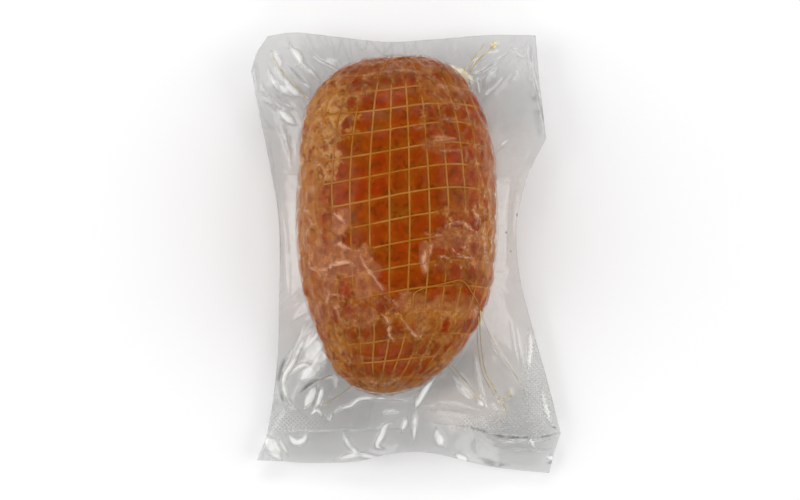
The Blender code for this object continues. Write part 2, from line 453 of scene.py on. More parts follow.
# %% Materials and groups
def new_material(name, **plain):
    """A material with a Principled shader: (material, tree, shader, object coordinates)."""
    made = bpy.data.materials.new(name)
    made.use_nodes = True
    tree = made.node_tree
    shader = tree.nodes["Principled BSDF"]
    for socket, value in plain.items():
        shader.inputs[socket.replace("_", " ")].default_value = value
    return made, tree, shader, node(tree, "TexCoord").outputs["Object"]


def new_group(name, inputs, outputs):
    """A node group: (tree, its inputs, its output node). Each input is (name, kind, value)."""
    tree = bpy.data.node_groups.new(name, "ShaderNodeTree")
    for label, kind, value in inputs:
        made = tree.interface.new_socket(label, in_out="INPUT", socket_type="NodeSocket" + kind)
        made.default_value = value
    for label, kind in outputs:
        tree.interface.new_socket(label, in_out="OUTPUT", socket_type="NodeSocket" + kind)
    return tree, tree.nodes.new("NodeGroupInput").outputs, tree.nodes.new("NodeGroupOutput")


def use_group(tree, group, **inputs):
    made = tree.nodes.new("ShaderNodeGroup")
    made.node_tree = group
    for name, value in inputs.items():
        socket = made.inputs[name.replace("_", " ")]
        if isinstance(value, bpy.types.NodeSocket):
            tree.links.new(value, socket)
        else:
            socket.default_value = value
    return made.outputs


# %% Soft patch group
def soft_patch_group():
    """A mask that fades out from a centre, with a ragged edge."""
    tree, given, result = new_group(
        "soft_patch",
        [("Place", "Vector", (0, 0, 0)), ("Centre", "Vector", (0, 0, 0)), ("Radii", "Vector", (1, 1, 1)),
         ("Ragged", "Float", 0.5), ("Grain", "Float", 120.0)],
        [("Mask", "Float")],
    )
    raw = noise_texture(tree, given["Place"], given["Grain"], 4.0, 0.6)
    offset = vector_calc(tree, "SUBTRACT", given["Place"], given["Centre"])
    offset = vector_calc(tree, "DIVIDE", offset, given["Radii"])
    distance = node(tree, "VectorMath", {"operation": "LENGTH"}, i0=offset).outputs["Value"]
    shake = times(tree, calc(tree, "SUBTRACT", raw, 0.5), given["Ragged"])
    edge = between(tree, plus(tree, distance, shake), 0.45, 1.15, 1.0, 0.0)
    tree.links.new(edge, result.inputs["Mask"])
    return tree


SOFT_PATCH = soft_patch_group()


def patch(tree, place, centre, radii, ragged=2.0, grain=110.0):
    """A soft patch on the pack, with its centre and radii in mm."""
    sizes = {"Centre": tuple(c * MM for c in centre), "Radii": tuple(r * MM for r in radii)}
    return use_group(tree, SOFT_PATCH, Place=place, Ragged=ragged, Grain=grain, **sizes)["Mask"]


# %% [markdown]
# ### Clear film
# Thin film lets nearly all light through, mirrors a little by its angle and is slightly milky. So
# a clear shader is mixed with a milky one by how milky the film is at that place, and the result
# with a glossy one by the Fresnel share. The back of a face must not mirror fully, so the
# refractive index is turned over there. The finishes also raise the milky share and pale or darken
# its colour as painted highlights, painted sheen and painted shade.

# %% Clear film shader
MILKY_ROUGHNESS = 0.5
MILKY_SHEEN = 0.1


def film_material(name, gloss_roughness, index):
    """A film: (material, tree, object coordinates, milky shader, milky share that also carries painted
    light, gloss and Fresnel).
    """
    made, tree, milky, place = new_material(name, Roughness=MILKY_ROUGHNESS, Specular_IOR_Level=MILKY_SHEEN)
    behind = node(tree, "NewGeometry").outputs["Backfacing"]
    ior = plus(tree, times(tree, behind, 1 / index - index), index)
    mirrored = node(tree, "Fresnel", IOR=ior)
    gloss = node(tree, "BsdfGlossy", Color=(1, 1, 1, 1), Roughness=gloss_roughness)
    clear = node(tree, "BsdfTransparent")
    body = node(tree, "MixShader", i1=clear.outputs[0], i2=milky.outputs[0])
    surface = node(tree, "MixShader", i0=mirrored.outputs[0], i1=body.outputs[0], i2=gloss.outputs[0])
    tree.links.new(surface.outputs[0], tree.nodes["Material Output"].inputs["Surface"])
    return made, tree, place, milky, body.inputs[0], (gloss, mirrored)


def roughen(tree, height, distance, shaders, strength=1.0):
    """Bumps the normal of some shaders by a height."""
    bump = node(tree, "Bump", Height=height, Strength=strength, Distance=distance)
    for shader in shaders:
        tree.links.new(bump.outputs["Normal"], shader.inputs["Normal"])


# %% [markdown]
# ### Where the film is loose
# The bag clings to the crown and stands off in patches at the sides and ends. The same patches are
# where the net sinks into soft fat and meat, so they are set down once, before the pieces. In some
# of them the film lies on the meat again as a pale veil, which has a list of its own; its paleness
# is partly a painted sheen.

# %% Loose patches
# Where the film came loose: centre and radii in mm, seen from above, and how loose
LOOSE_PATCHES = (
    ((-42, 2), (13, 24), 1.0),
    ((-28, -8), (12, 15), 1.0),
    ((-53, 22), (9, 62), 0.75),
    ((-42, 76), (13, 26), 0.6),
    ((-12, -33), (44, 11), 0.85),
    ((22, -38), (20, 13), 0.65),
    ((27, 6), (15, 21), 0.95),
    ((42, 34), (13, 52), 0.75),
    ((20, 66), (17, 15), 0.65),
    ((-8, 99), (46, 9), 0.9),
    ((-14, -73), (34, 11), 0.9),
    ((-37, -42), (13, 20), 0.9),
    ((20, -50), (17, 12), 0.8),
    ((-35, -60), (12, 14), 0.95),
    ((16, -62), (13, 12), 0.95),
    ((3, -25), (13, 6), 0.8),
    ((20, 85), (13, 12), 0.75),
    ((-28, 89), (10, 14), 0.9),
)
LOOSE_GRAIN = 7 * MM
LOOSE_SEED = Vector((2.7, 6.1, 0.4))
LOOSE_REACH = 1.35
LOOSE_EDGE = 0.6
LOOSE_RAGGED = 0.7
CLINGING = 0.05
# Where it lies on the meat like a pale veil with a clear edge, partly a painted sheen: centre and radii in
# mm, and how pale
VEILS_AND_SHEEN = (
    ((-34.5, 18), (4.5, 7), 1.0),
    ((-37, -3), (18, 11), 0.85),
    ((-20, -13), (8, 9), 0.8),
    ((-43, -21), (8, 12), 0.5),
    ((-53, 14), (6, 30), 0.35),
    ((-48, 58), (6, 13), 0.25),
    ((-24, -33), (9, 5), 0.6),
    ((4, -36), (9, 6), 0.35),
    ((3, -24.5), (11, 5), 0.6),
    ((24, -26), (14, 5), 0.5),
    ((15, 57), (8, 5), 0.35),
    ((24, 9), (14, 5), 0.5),
    ((20, 88), (13, 8), 0.3),
    ((9, -2), (2.6, 9), 0.9),
    ((-4, 98), (34, 5), 0.25),
    ((44, 60), (6, 24), 0.7),
    ((38, -2), (5, 13), 0.3),
)
VEIL_GRAIN = 8 * MM
VEIL_RAGGED = 0.7
VEIL_EDGE = 0.25
VEIL_LEVEL = GIRTH_LEVEL - 12 * MM


def looseness(places):
    """0 where the film clings to the meat and 1 where it stands off."""
    total = np.zeros(len(places))
    for (x, y), (wide, high), strength in LOOSE_PATCHES:
        away = np.hypot((places[:, 0] / MM - x) / wide, (places[:, 1] / MM - y) / high)
        total = np.maximum(total, strength * smooth((LOOSE_REACH - away) / LOOSE_EDGE))
    ragged = LOOSE_RAGGED * noise_at(places, LOOSE_GRAIN, LOOSE_SEED)
    return smooth(total + ragged * smooth(total * 3) - CLINGING)


def veil_and_sheen(places):
    """How pale the veil of loose film and its painted sheen are, with ragged clear edges."""
    total = np.zeros(len(places))
    ragged = VEIL_RAGGED * noise_at(places, VEIL_GRAIN, LOOSE_SEED)
    for (x, y), (wide, high), strength in VEILS_AND_SHEEN:
        away = np.hypot((places[:, 0] / MM - x) / wide, (places[:, 1] / MM - y) / high)
        total = np.maximum(total, strength * smooth((1 + VEIL_EDGE / 2 - away - ragged) / VEIL_EDGE))
    return total * (places[:, 2] > VEIL_LEVEL)


# %% [markdown]
# ## The smoked meat
# Smoke and heat turn the skin deep orange-brown, redder in some meshes of the net than in others.
# Fat shows as ochre streaks. The net cuts grooves and the meat swells between them, so the mesh is
# the egg with net steps, and each vertex rises by how far it is from the nearest thread and ring.

# %% Meat mesh
MEAT_FACES_ROUND = 11
MEAT_FACES_ALONG = 12
MEAT_SWELL = 1.25 * MM
MEAT_SWELL_POWER = 0.6
MEAT_FLOOR = 0.7 * MM
MEAT_FINE_HEIGHT = 0.35 * MM
MEAT_FINE_SIZE = 7 * MM
TIP_FADE = 2.0


def in_mesh(round_, along):
    """0 on a thread or ring of the net and 1 in the middle of a mesh."""
    return np.abs(np.sin(math.pi * round_) * np.sin(math.pi * along))


def fine_relief(round_, along):
    """Small lumps of the meat, which the film over it follows."""
    return MEAT_FINE_HEIGHT * noise_at(egg_point(round_, along), MEAT_FINE_SIZE, UNEVEN_SEED)


def meat_piece():
    bm, round_, along = egg_shape(MEAT_FACES_ROUND, MEAT_FACES_ALONG)
    tips = smooth(np.minimum(along, RINGS_ROUND - along) / TIP_FADE)
    swell = MEAT_SWELL * in_mesh(round_, along) ** MEAT_SWELL_POWER * tips
    places = skin(round_, along, swell + fine_relief(round_, along))
    places[:, 2] = np.maximum(places[:, 2], MEAT_FLOOR)
    put(bm, places)
    net_map(bm, round_, along)
    made = piece("smoked_chicken_breast", bm, meat_finish())
    mark(made, "middle", in_mesh(round_, along))
    mark(made, "loose", looseness(places))
    return made


# %% [markdown]
# ### Finish of the meat
# Smoked skin isn't one colour. Each mesh of the net has a tone of its own, from a white noise that
# is read once a mesh. Soft patches lay fat and rosy meat where the photo shows them, the meat is
# paler by the threads and deeper in the middle of a mesh, and small burnt and glowing blotches and
# a few dark specks come last. A UV map in net steps tells the finish which mesh it is in.

# %% Meat colours
DEEP_ORANGE = (0.268, 0.037, 0.001)
SMOKE_RED = (0.297, 0.025, 0.001)
SMOKE_BROWN = (0.222, 0.054, 0.002)
TIP_BROWN = (0.262, 0.078, 0.011)
FAT_OCHRE = (0.475, 0.212, 0.036)
PALE_FAT = (0.54, 0.285, 0.10)
ROSY = (0.36, 0.072, 0.022)
THREAD_OCHRE = (0.34, 0.108, 0.006)
DEEP_RED = (0.225, 0.021, 0.002)
BURNT = (0.15, 0.026, 0.001)
EMBER = (0.36, 0.062, 0.002)
SPECK_BLACK = (0.02, 0.01, 0.005)
# Where the meat is fattier, rosier or browner: centre and radii in mm, colour and strength
MEAT_PATCHES = (
    ((-43, 76, 45), (15, 40, 30), FAT_OCHRE, 1.0),
    ((-38, 66, 50), (6, 30, 30), PALE_FAT, 0.8),
    ((-52, 20, 45), (12, 60, 40), FAT_OCHRE, 0.8),
    ((-46, 10, 45), (15, 40, 34), ROSY, 0.7),
    ((43, 40, 45), (12, 50, 30), ROSY, 0.8),
    ((44, 4, 40), (8, 30, 30), FAT_OCHRE, 0.8),
    ((-25, -15, 60), (20, 20, 24), ROSY, 0.5),
    ((-8, -42, 50), (38, 14, 30), SMOKE_BROWN, 0.7),
    ((-18, -62, 40), (26, 16, 30), TIP_BROWN, 0.8),
    ((12, -32, 50), (26, 9, 30), FAT_OCHRE, 0.5),
    ((-5, 98, 45), (42, 9, 30), TIP_BROWN, 0.6),
    ((-38, -48, 35), (11, 26, 30), FAT_OCHRE, 0.75),
    ((22, -54, 35), (14, 17, 30), FAT_OCHRE, 0.6),
    ((-12, -72, 30), (26, 6, 30), FAT_OCHRE, 0.6),
    ((-11, -55, 45), (14, 10, 30), DEEP_ORANGE, 0.95),
    ((-40, 60, 45), (11, 24, 30), PALE_FAT, 0.8),
    ((-19, 35, 60), (12, 15, 24), SMOKE_RED, 0.6),
    ((17, 86, 50), (12, 12, 24), FAT_OCHRE, 0.35),
)

# %% Meat finish
# Scales of its patterns, in bumps per metre
CLOUDY_SCALE = 75.0
RAGGED_SCALE = 260.0
BLOTCH_SCALE = 210.0
SPECK_SCALE = 75.0
PORE_SCALE = 650.0


def meat_finish():
    made, tree, shader, place = new_material("smoked_meat", Roughness=0.6, Specular_IOR_Level=0.0)
    middle, loose = attribute(tree, "middle"), attribute(tree, "loose")
    cell = vector_calc(tree, "FLOOR", node(tree, "UVMap", {"uv_map": "net"}).outputs[0])
    cell_tone = node(tree, "TexWhiteNoise", {"noise_dimensions": "2D"}, Vector=cell).outputs["Value"]
    cloudy = noise_texture(tree, place, CLOUDY_SCALE, 4.0)
    ragged = noise_texture(tree, place, RAGGED_SCALE, 5.0, 0.62)
    tone = plus(tree, times(tree, cell_tone, 0.45), times(tree, cloudy, 0.9))
    colour = mix(tree, between(tree, tone, 0.35, 0.6), SMOKE_RED, DEEP_ORANGE)
    colour = mix(tree, between(tree, tone, 0.7, 1.0), colour, SMOKE_BROWN)
    for centre, radii, tint, strength in MEAT_PATCHES:
        mask = times(tree, patch(tree, place, centre, radii, 3.0, 130.0), strength)
        colour = mix(tree, mask, colour, tint)
    uneven = plus(tree, middle, times(tree, calc(tree, "SUBTRACT", ragged, 0.5), 1.6))
    by_thread = between(tree, uneven, 0.1, 0.55, 1.0, 0.0)
    by_thread = times(tree, by_thread, plus(tree, times(tree, loose, 0.4), 0.3))
    colour = mix(tree, by_thread, colour, THREAD_OCHRE)
    heart = plus(tree, times(tree, loose, 0.6), 0.2)
    heart = times(tree, between(tree, uneven, 0.6, 1.0), heart)
    colour = mix(tree, heart, colour, DEEP_RED)
    blotch = noise_texture(tree, place, BLOTCH_SCALE, 5.0, 0.65, 0.5)
    colour = mix(tree, between(tree, blotch, 0.5, 0.66, 0.0, 0.8), colour, BURNT)
    colour = mix(tree, between(tree, blotch, 0.32, 0.46, 0.7, 0.0), colour, EMBER)
    speck = node(tree, "TexVoronoi", Vector=place, Scale=SPECK_SCALE).outputs["Distance"]
    colour = mix(tree, between(tree, speck, 0.03, 0.06, 0.85, 0.0), colour, SPECK_BLACK)
    tree.links.new(colour, shader.inputs["Base Color"])
    roughen(tree, noise_texture(tree, place, PORE_SCALE, 3.0), 0.6 * MM, (shader,), 0.3)
    return made


meat = meat_piece()
print("meat faces", len(meat.data.polygons))

# %% [markdown]
# ## The elastic net
# The net is a knitted tube of elastic threads: long threads run from tip to tip and rings cross
# them. Each is a thin cord that sinks into the groove that it makes, so a curve through places on
# the skin with a round bevel gives it, and noise lets it dive under the meat here and there.

# %% Net sizes
THREAD_RADIUS = 0.58 * MM
THREAD_LIFT = 0.30 * MM
THREAD_DIVE = 0.55 * MM
THREAD_SUNK = 0.86 * MM
THREAD_DIVE_SIZE = 16 * MM
THREAD_WANDER = 0.09
POINTS_PER_MESH = 7
NET_SEED = Vector((8.3, 1.2, 5.5))
THREAD_START = 0.25


# %% Cords
def cord_object(name, lines, radius, closed, finish):
    """Round cords through lines of places, as one curve object."""
    curve = bpy.data.curves.new(name, "CURVE")
    curve.dimensions = "3D"
    curve.bevel_depth = radius
    curve.bevel_resolution = 1
    curve.use_fill_caps = True
    for line in lines:
        spline = curve.splines.new("POLY")
        spline.points.add(len(line) - 1)
        spline.points.foreach_set("co", np.column_stack([line, np.ones(len(line))]).ravel())
        spline.use_cyclic_u = closed
        spline.use_smooth = True
    curve.materials.append(finish)
    return dress(link(name, curve))


def on_net(round_, along):
    """A thread's places: it wanders a little off its line and dives into the meat here and there."""
    base = egg_point(round_, along)
    wander = THREAD_WANDER * noise_at(base, 3 * THREAD_DIVE_SIZE, NET_SEED)
    dive = THREAD_DIVE * np.maximum(0, noise_at(base, THREAD_DIVE_SIZE, NET_SEED))
    dive = dive + THREAD_SUNK * looseness(base)
    places = skin(round_ + wander, along + wander, THREAD_LIFT - dive)
    places[:, 2] = np.maximum(places[:, 2], MEAT_FLOOR)
    return places


# %% [markdown]
# ### Finish of the net
# White elastic turns ochre in the smoke, more so where it is greasy. A slow noise gives the stain
# and a very fine one the twist of the yarn, which also raises small bumps.

# %% Net finish
NET_SMOKED = (0.37, 0.112, 0.004)
NET_STAINED = (0.43, 0.17, 0.03)
NET_PALE = (0.50, 0.22, 0.05)
NET_SHEEN = 0.08
STAIN_SCALE = 60.0
TWIST_SCALE = 900.0


def net_finish():
    made, tree, shader, place = new_material("elastic_net", Roughness=0.6, Specular_IOR_Level=NET_SHEEN)
    stain = noise_texture(tree, place, STAIN_SCALE, 4.0)
    twist = noise_texture(tree, place, TWIST_SCALE, 2.0)
    colour = mix(tree, between(tree, stain, 0.35, 0.65), NET_SMOKED, NET_STAINED)
    colour = mix(tree, between(tree, twist, 0.45, 0.7, 0.0, 0.35), colour, NET_PALE)
    tree.links.new(colour, shader.inputs["Base Color"])
    roughen(tree, twist, 0.4 * MM, (shader,), 0.5)
    return made


# %% Net
NET_FINISH = net_finish()
steps_along = np.linspace(THREAD_START, RINGS_ROUND - THREAD_START, RINGS_ROUND * POINTS_PER_MESH)
steps_round = np.linspace(0, THREADS_ALONG, THREADS_ALONG * POINTS_PER_MESH, endpoint=False)
long_lines = [on_net(np.full_like(steps_along, thread), steps_along) for thread in range(THREADS_ALONG)]
ring_lines = [on_net(steps_round, np.full_like(steps_round, ring)) for ring in range(1, RINGS_ROUND)]
long_threads = cord_object("net_long_threads", long_lines, THREAD_RADIUS, False, NET_FINISH)
ring_threads = cord_object("net_rings", ring_lines, THREAD_RADIUS, True, NET_FINISH)
print("net lines", len(long_lines), len(ring_lines))

# %% [markdown]
# ## The film over the breast
# The film was sucked onto the meat, so it is a closed skin just outside the net. Where it clings it
# is hardly seen. Where it came loose it wrinkles and looks milky, partly with a painted sheen, so one
# list of loose patches drives both its shape and its finish, and a list of folds adds the wrinkles
# that stand out, with painted highlights on their crests.

# %% Folds of the tight film
# Width and height in mm, then the points (x, y) in mm, seen from above
FOLDS = (
    (1.0, 0.9, ((-38.4, 22.3), (-34.7, 19.7), (-31.0, 15.0))),
    (0.8, 0.8, ((-35.2, 14.5), (-33.6, 7.2), (-32.6, 4.1), (-25.8, 3.0))),
    (0.9, 0.9, ((-38.4, 4.6), (-35.7, 6.1), (-32.6, 5.1), (-28.9, 3.5))),
    (1.0, 1.2, ((-48.2, -7.5), (-41.7, -7.4), (-37.4, -4.8), (-31.5, -3.7), (-25.3, -4.8))),
    (1.0, 1.0, ((-50.4, -1.2), (-49.3, -5.9), (-46.0, -9.1))),
    (0.8, 0.9, ((-26.3, 7.7), (-22.7, -3.7), (-17.0, -11.5), (-13.3, -17.2), (-12.8, -20.8))),
    (0.7, 0.8, ((-40.7, -15.3), (-40.2, -21.1), (-43.0, -27.5))),
    (0.7, 0.8, ((-40.7, -22.7), (-37.5, -20.5), (-32.7, -21.5), (-32.1, -16.3))),
    (0.7, 0.6, ((-54.0, -8.1), (-53.1, -18.9), (-50.0, -30.7))),
    (0.7, 0.6, ((-57.5, 15.9), (-55.6, 2.5), (-54.7, -10.8))),
    (0.8, 0.7, ((-14.4, -19.8), (-7.6, -23.5), (-3.5, -27.6))),
    (0.9, 1.0, ((-14.4, -29.2), (-10.3, -34.0), (-9.2, -41.9), (-5.0, -43.0))),
    (0.8, 0.9, ((-4.0, -31.3), (1.7, -39.3), (5.9, -42.0), (8.0, -34.0))),
    (0.8, 0.6, ((-39.2, -29.6), (-36.0, -27.9), (-34.5, -38.0))),
    (0.8, 0.5, ((-30.3, -41.1), (-25.5, -38.3))),
    (0.9, 1.1, ((10.0, 4.1), (7.9, -2.7), (10.5, -11.0))),
    (0.7, 0.8, ((12.0, 9.7), (11.5, -1.6))),
    (0.9, 1.0, ((16.7, 13.4), (22.0, 16.0), (26.7, 16.6), (32.1, 13.5), (35.9, 9.8))),
    (0.8, 0.8, ((6.9, 12.8), (11.0, 10.3), (20.4, 9.8))),
    (0.7, 0.7, ((11.5, -1.6), (18.8, -0.6), (19.9, -3.2))),
    (0.9, 1.0, ((20.4, 6.7), (24.1, 0.9), (30.0, -1.2), (37.0, -1.2))),
    (0.8, 0.8, ((25.7, 4.6), (30.5, 3.0))),
    (0.7, 0.7, ((25.2, -3.8), (27.9, -7.9))),
    (0.8, 0.8, ((37.5, 10.9), (39.2, 4.6), (38.7, -2.8))),
    (0.8, 0.8, ((32.1, 26.0), (34.8, 18.2), (32.6, 11.9))),
    (0.7, 0.8, ((10.5, 61.2), (15.8, 61.3), (21.0, 61.9))),
    (0.7, 0.7, ((11.0, 58.5), (21.0, 60.3), (26.3, 61.0))),
    (0.7, 0.7, ((16.3, 59.2), (16.8, 53.9), (23.1, 54.1), (26.8, 54.2), (27.9, 50.5))),
    (0.7, 0.6, ((1.2, 67.4), (4.8, 64.8), (8.5, 67.5), (3.3, 68.5))),
    (0.7, 0.6, ((12.7, 69.7), (19.5, 70.4), (29.6, 70.8), (33.5, 70.6))),
    (0.8, 0.6, ((30.7, 70.9), (30.1, 65.5), (25.3, 61.0))),
    (0.8, 0.8, ((29.0, 58.0), (30.0, 52.7), (28.4, 47.9))),
    (0.7, 0.6, ((29.4, 47.4), (39.3, 47.4))),
    (0.9, 0.8, ((37.5, 33.5), (41.5, 27.3))),
    (0.8, 0.6, ((14.4, 86.5), (20.3, 89.6))),
    (0.9, 0.6, ((-46.5, 78.0), (-42.9, 64.0), (-41.7, 59.1))),
    (0.9, 0.9, ((-40.6, 49.0), (-37.4, 45.8), (-36.8, 42.1))),
    (0.8, 0.6, ((-49.3, 46.8), (-41.6, 46.9))),
    (0.8, 0.5, ((-55.0, 60.5), (-53.8, 41.2))),
    (0.6, 0.5, ((-21.1, 63.8), (-16.5, 65.3))),
    (0.6, 0.4, ((-27.9, 53.9), (-24.2, 58.6))),
    (0.8, 0.6, ((-29.4, -51.4), (-17.2, -53.8), (-5.0, -51.0))),
    (0.8, 0.5, ((-25.3, -64.2), (-12.0, -67.2), (0.2, -62.1))),
    (0.8, 0.5, ((-18.7, 93.6), (-2.9, 95.7), (11.8, 92.0))),
)

# %% Tight film mesh
FILM_OVER_NET = 1.02 * MM
FILM_OVER_MEAT = 0.3 * MM
LOOSE_LIFT = 0.25 * MM
WRINKLE_HEIGHT = 0.7 * MM
WRINKLE_SIZE = 7.5 * MM
WRINKLE_SEED = Vector((5.9, 3.3, 8.8))


def tight_film():
    """The skin of film over the breast, with how loose and how folded it is at each vertex."""
    bm, round_, along = egg_shape(MEAT_FACES_ROUND, MEAT_FACES_ALONG)
    base = skin(round_, along)
    loose = looseness(base)
    wrinkle = ridged(noise_at(base, WRINKLE_SIZE, WRINKLE_SEED)) ** 3 * loose
    fold = np.zeros(len(base))
    for width, height, points in FOLDS:
        fold = np.maximum(fold, height * ridge(base, width, points) * (base[:, 2] > GIRTH_LEVEL))
    lift = FILM_OVER_NET + FILM_OVER_MEAT * in_mesh(round_, along) + LOOSE_LIFT * loose
    lift = lift + WRINKLE_HEIGHT * wrinkle + fold * MM + fine_relief(round_, along)
    places = skin(round_, along, lift)
    places[:, 2] = np.maximum(places[:, 2], 0)
    put(bm, places)
    made = piece("tight_film", bm, tight_film_finish())
    mark(made, "loose", loose)
    mark(made, "middle", in_mesh(round_, along))
    mark(made, "veil_sheen", veil_and_sheen(base))
    mark(made, "fold", np.clip(wrinkle * 0.2 + fold, 0, 1))
    return made


# %% [markdown]
# ### Finish of the tight film
# Wet film on meat has no colour of its own, but where it came loose the air and juice under it
# scatter light, and it takes a tone between milk and meat. That share grows in streaks and veins,
# in whole veils and on the crests of folds, and fades where the meat swells against the film. The
# pale share is partly this real haze and partly painted sheen, and the frosty crests of folds and
# the pale veins are partly painted highlights.

# %% Tight film colours
TIGHT_GLOSS = 0.27
TIGHT_INDEX = 1.165
HAZE_PEACH = (0.56, 0.205, 0.034)
HAZE_MAUVE = (0.27, 0.078, 0.024)
HAZE_OCHRE = (0.40, 0.16, 0.028)
HAZE_GOLD = (0.62, 0.27, 0.05)
PINK_HAZE_AND_SHEEN = (0.53, 0.195, 0.088)
FROST_AND_HIGHLIGHT = (0.72, 0.38, 0.23)
# Where fat under the film makes it golden: centre and radii in mm
GOLDEN_HAZE = (((-54, 40, 35), (14, 62, 60)), ((18, -29, 45), (28, 12, 40)), ((41, 24, 40), (10, 24, 40)))
OCHRE_HAZE = ((-8, -62, 35), (52, 34, 60))

# %% Tight film finish
# Scales of its patterns, in bumps per metre
HAZE_SCALE = 170.0
STREAK_SCALE = 330.0
VEIN_SCALE = 230.0
RUMPLE_SCALE = 210.0
RUMPLE_STRETCH = (1.0, 0.45, 1.0)


def tight_film_finish():
    made, tree, place, milky, milky_and_painted_light_share, gloss = film_material("tight_film", TIGHT_GLOSS, TIGHT_INDEX)
    loose, fold, veil_sheen, middle = (attribute(tree, name) for name in ("loose", "fold", "veil_sheen", "middle"))
    cloud = noise_texture(tree, place, HAZE_SCALE, 4.0, 0.6)
    streak = noise_texture(tree, place, STREAK_SCALE, 5.0, 0.65, 0.8)
    tint = mix(tree, between(tree, cloud, 0.4, 0.6), HAZE_MAUVE, HAZE_PEACH)
    tint = mix(tree, patch(tree, place, *OCHRE_HAZE, 1.5, 60.0), tint, HAZE_OCHRE)
    for centre, radii in GOLDEN_HAZE:
        tint = mix(tree, patch(tree, place, centre, radii, 2.5, 90.0), tint, HAZE_GOLD)
    # Painted sheen: the veil is tinted pale pink, partly the loose film and partly a painted reflection.
    tint = mix(tree, times(tree, veil_sheen, between(tree, cloud, 0.64, 0.4, 0.45)), tint, PINK_HAZE_AND_SHEEN)
    # Painted highlight: the crests of folds are tinted frosty white, partly milky doubled film.
    tint = mix(tree, times(tree, fold, between(tree, streak, 0.35, 0.5)), tint, FROST_AND_HIGHLIGHT)
    tree.links.new(tint, milky.inputs["Base Color"])
    # Painted sheen: the milky share in streaks and veins is partly real haze and partly painted sheen and
    # glints.
    broken = between(tree, streak, 0.45, 0.62, 0.03, 0.4)
    fine = noise_texture(tree, place, VEIN_SCALE, 3.0, 0.5, 1.2)
    vein = calc(tree, "ABSOLUTE", calc(tree, "SUBTRACT", fine, 0.5))
    vein = times(tree, between(tree, vein, 0.0, 0.045, 0.42, 0.0), between(tree, cloud, 0.4, 0.6))
    calm = calc(tree, "SUBTRACT", 1.0, times(tree, veil_sheen, 0.85))
    share = times(tree, times(tree, loose, calm), plus(tree, broken, vein))
    swollen = plus(tree, middle, times(tree, calc(tree, "SUBTRACT", cloud, 0.5), 1.4))
    share = times(tree, share, between(tree, swollen, 0.5, 0.85, 1.1, 0.25))
    # The veil's painted sheen also makes the film less clear.
    share = plus(tree, share, times(tree, veil_sheen, between(tree, cloud, 0.35, 0.62, 0.3, 0.62)))
    # Painted highlight: the fold crests are made milkier, partly doubled film and partly painted glare.
    crest_white_and_highlight = times(tree, fold, between(tree, streak, 0.32, 0.52, 0.14, 0.42))
    tree.links.new(calc(tree, "ADD", share, crest_white_and_highlight, clamp=True), milky_and_painted_light_share)
    height = times(tree, plus(tree, streak, vein), plus(tree, loose, 0.06))
    roughen(tree, height, 0.6 * MM, gloss, 0.8)
    stretched = vector_calc(tree, "MULTIPLY", place, RUMPLE_STRETCH)
    rumple = noise_texture(tree, stretched, RUMPLE_SCALE, 2.0, 0.5, 1.0)
    roughen(tree, rumple, 1.2 * MM, (milky,), 0.8)
    return made


tight = tight_film()
print("tight film faces", len(tight.data.polygons))

# %% [markdown]
# ## The flat margin of the bag
# Beyond the breast the two films of the bag lie on each other. The bag was cut as a rectangle and
# shrank in waves, so a grid is stretched between its four real edges. The film droops from the
# breast to the edges, creases run where it was pinched, and a heat seal crosses the lower end.

# %% Bag edge
# Corners and points of the four edges (x, y, z) in mm
TOP_LEFT = (-76, 119, 23)
TOP_RIGHT = (70, 119.8, 20)
RIGHT_SHOULDER = (75.3, 63, 26)
SEAL_RIGHT = (85, -99, 9)
BOTTOM_RIGHT = (78.7, -121.25, 6)
BOTTOM_LEFT = (-83, -113.6, 11)
LEFT_SHOULDER = (-85, 100, 22)
TOP_EDGE = ((TOP_LEFT, (-61, 121.25, 21), (-39, 119.3, 18), (-11, 116.8, 16), (13, 118, 16),
             (45, 120.3, 18), TOP_RIGHT),)
RIGHT_EDGE = (
    (BOTTOM_RIGHT, (82, -108, 8), SEAL_RIGHT),
    (SEAL_RIGHT, (79, -76, 12), (67, -34, 16), (62, -14, 18), (59.7, 6, 19), (61, 24, 20),
     (66, 44, 23), RIGHT_SHOULDER),
    (RIGHT_SHOULDER, (73.4, 82, 23), (71.7, 100, 20), TOP_RIGHT),
)
BOTTOM_EDGE = ((BOTTOM_LEFT, (-71, -114.4, 9), (-52, -115.3, 9), (-28, -114.2, 12), (-12, -110, 16),
                (3, -108, 19), (18, -109.8, 17), (45, -117, 10), (62, -119.6, 7), BOTTOM_RIGHT),)
LEFT_EDGE = (
    (BOTTOM_LEFT, (-77, -97, 11), (-72, -65, 14), (-70.2, -32, 18), (-70, 16, 20), (-75, 48, 20),
     (-81.5, 80, 20), LEFT_SHOULDER),
    (LEFT_SHOULDER, (-82.5, 109, 23), TOP_LEFT),
)


def edge_at(parts, share):
    """Places along an edge of the bag, in metres, for shares of its length from 0 to 1."""
    line = np.vstack([curve_through(part) for part in parts]) * MM
    length = walked(line)
    return np.column_stack([np.interp(share * length[-1], length, column) for column in line.T])


# %% [markdown]
# ### Its mesh
# A flat grid could be cut to the outline, but its squares would end ragged. Blending the four edges
# across the grid keeps every row whole, so the rim of the film is smooth. The part under the breast
# is left out, and how far a place is from the breast is read from two tables by its bearing.

# %% Margin grid
MARGIN_PITCH = 0.75 * MM
MARGIN_LEVEL = 28 * MM
MARGIN_DROOP_POWER = 2.2
MARGIN_TUCK = 0.86
MARGIN_CUT = 0.9
FILM_GAP = 0.35 * MM
WEB_THICKNESS = 6 * MM
WEB_REACH = 2.6 * MM
BEARINGS = 720


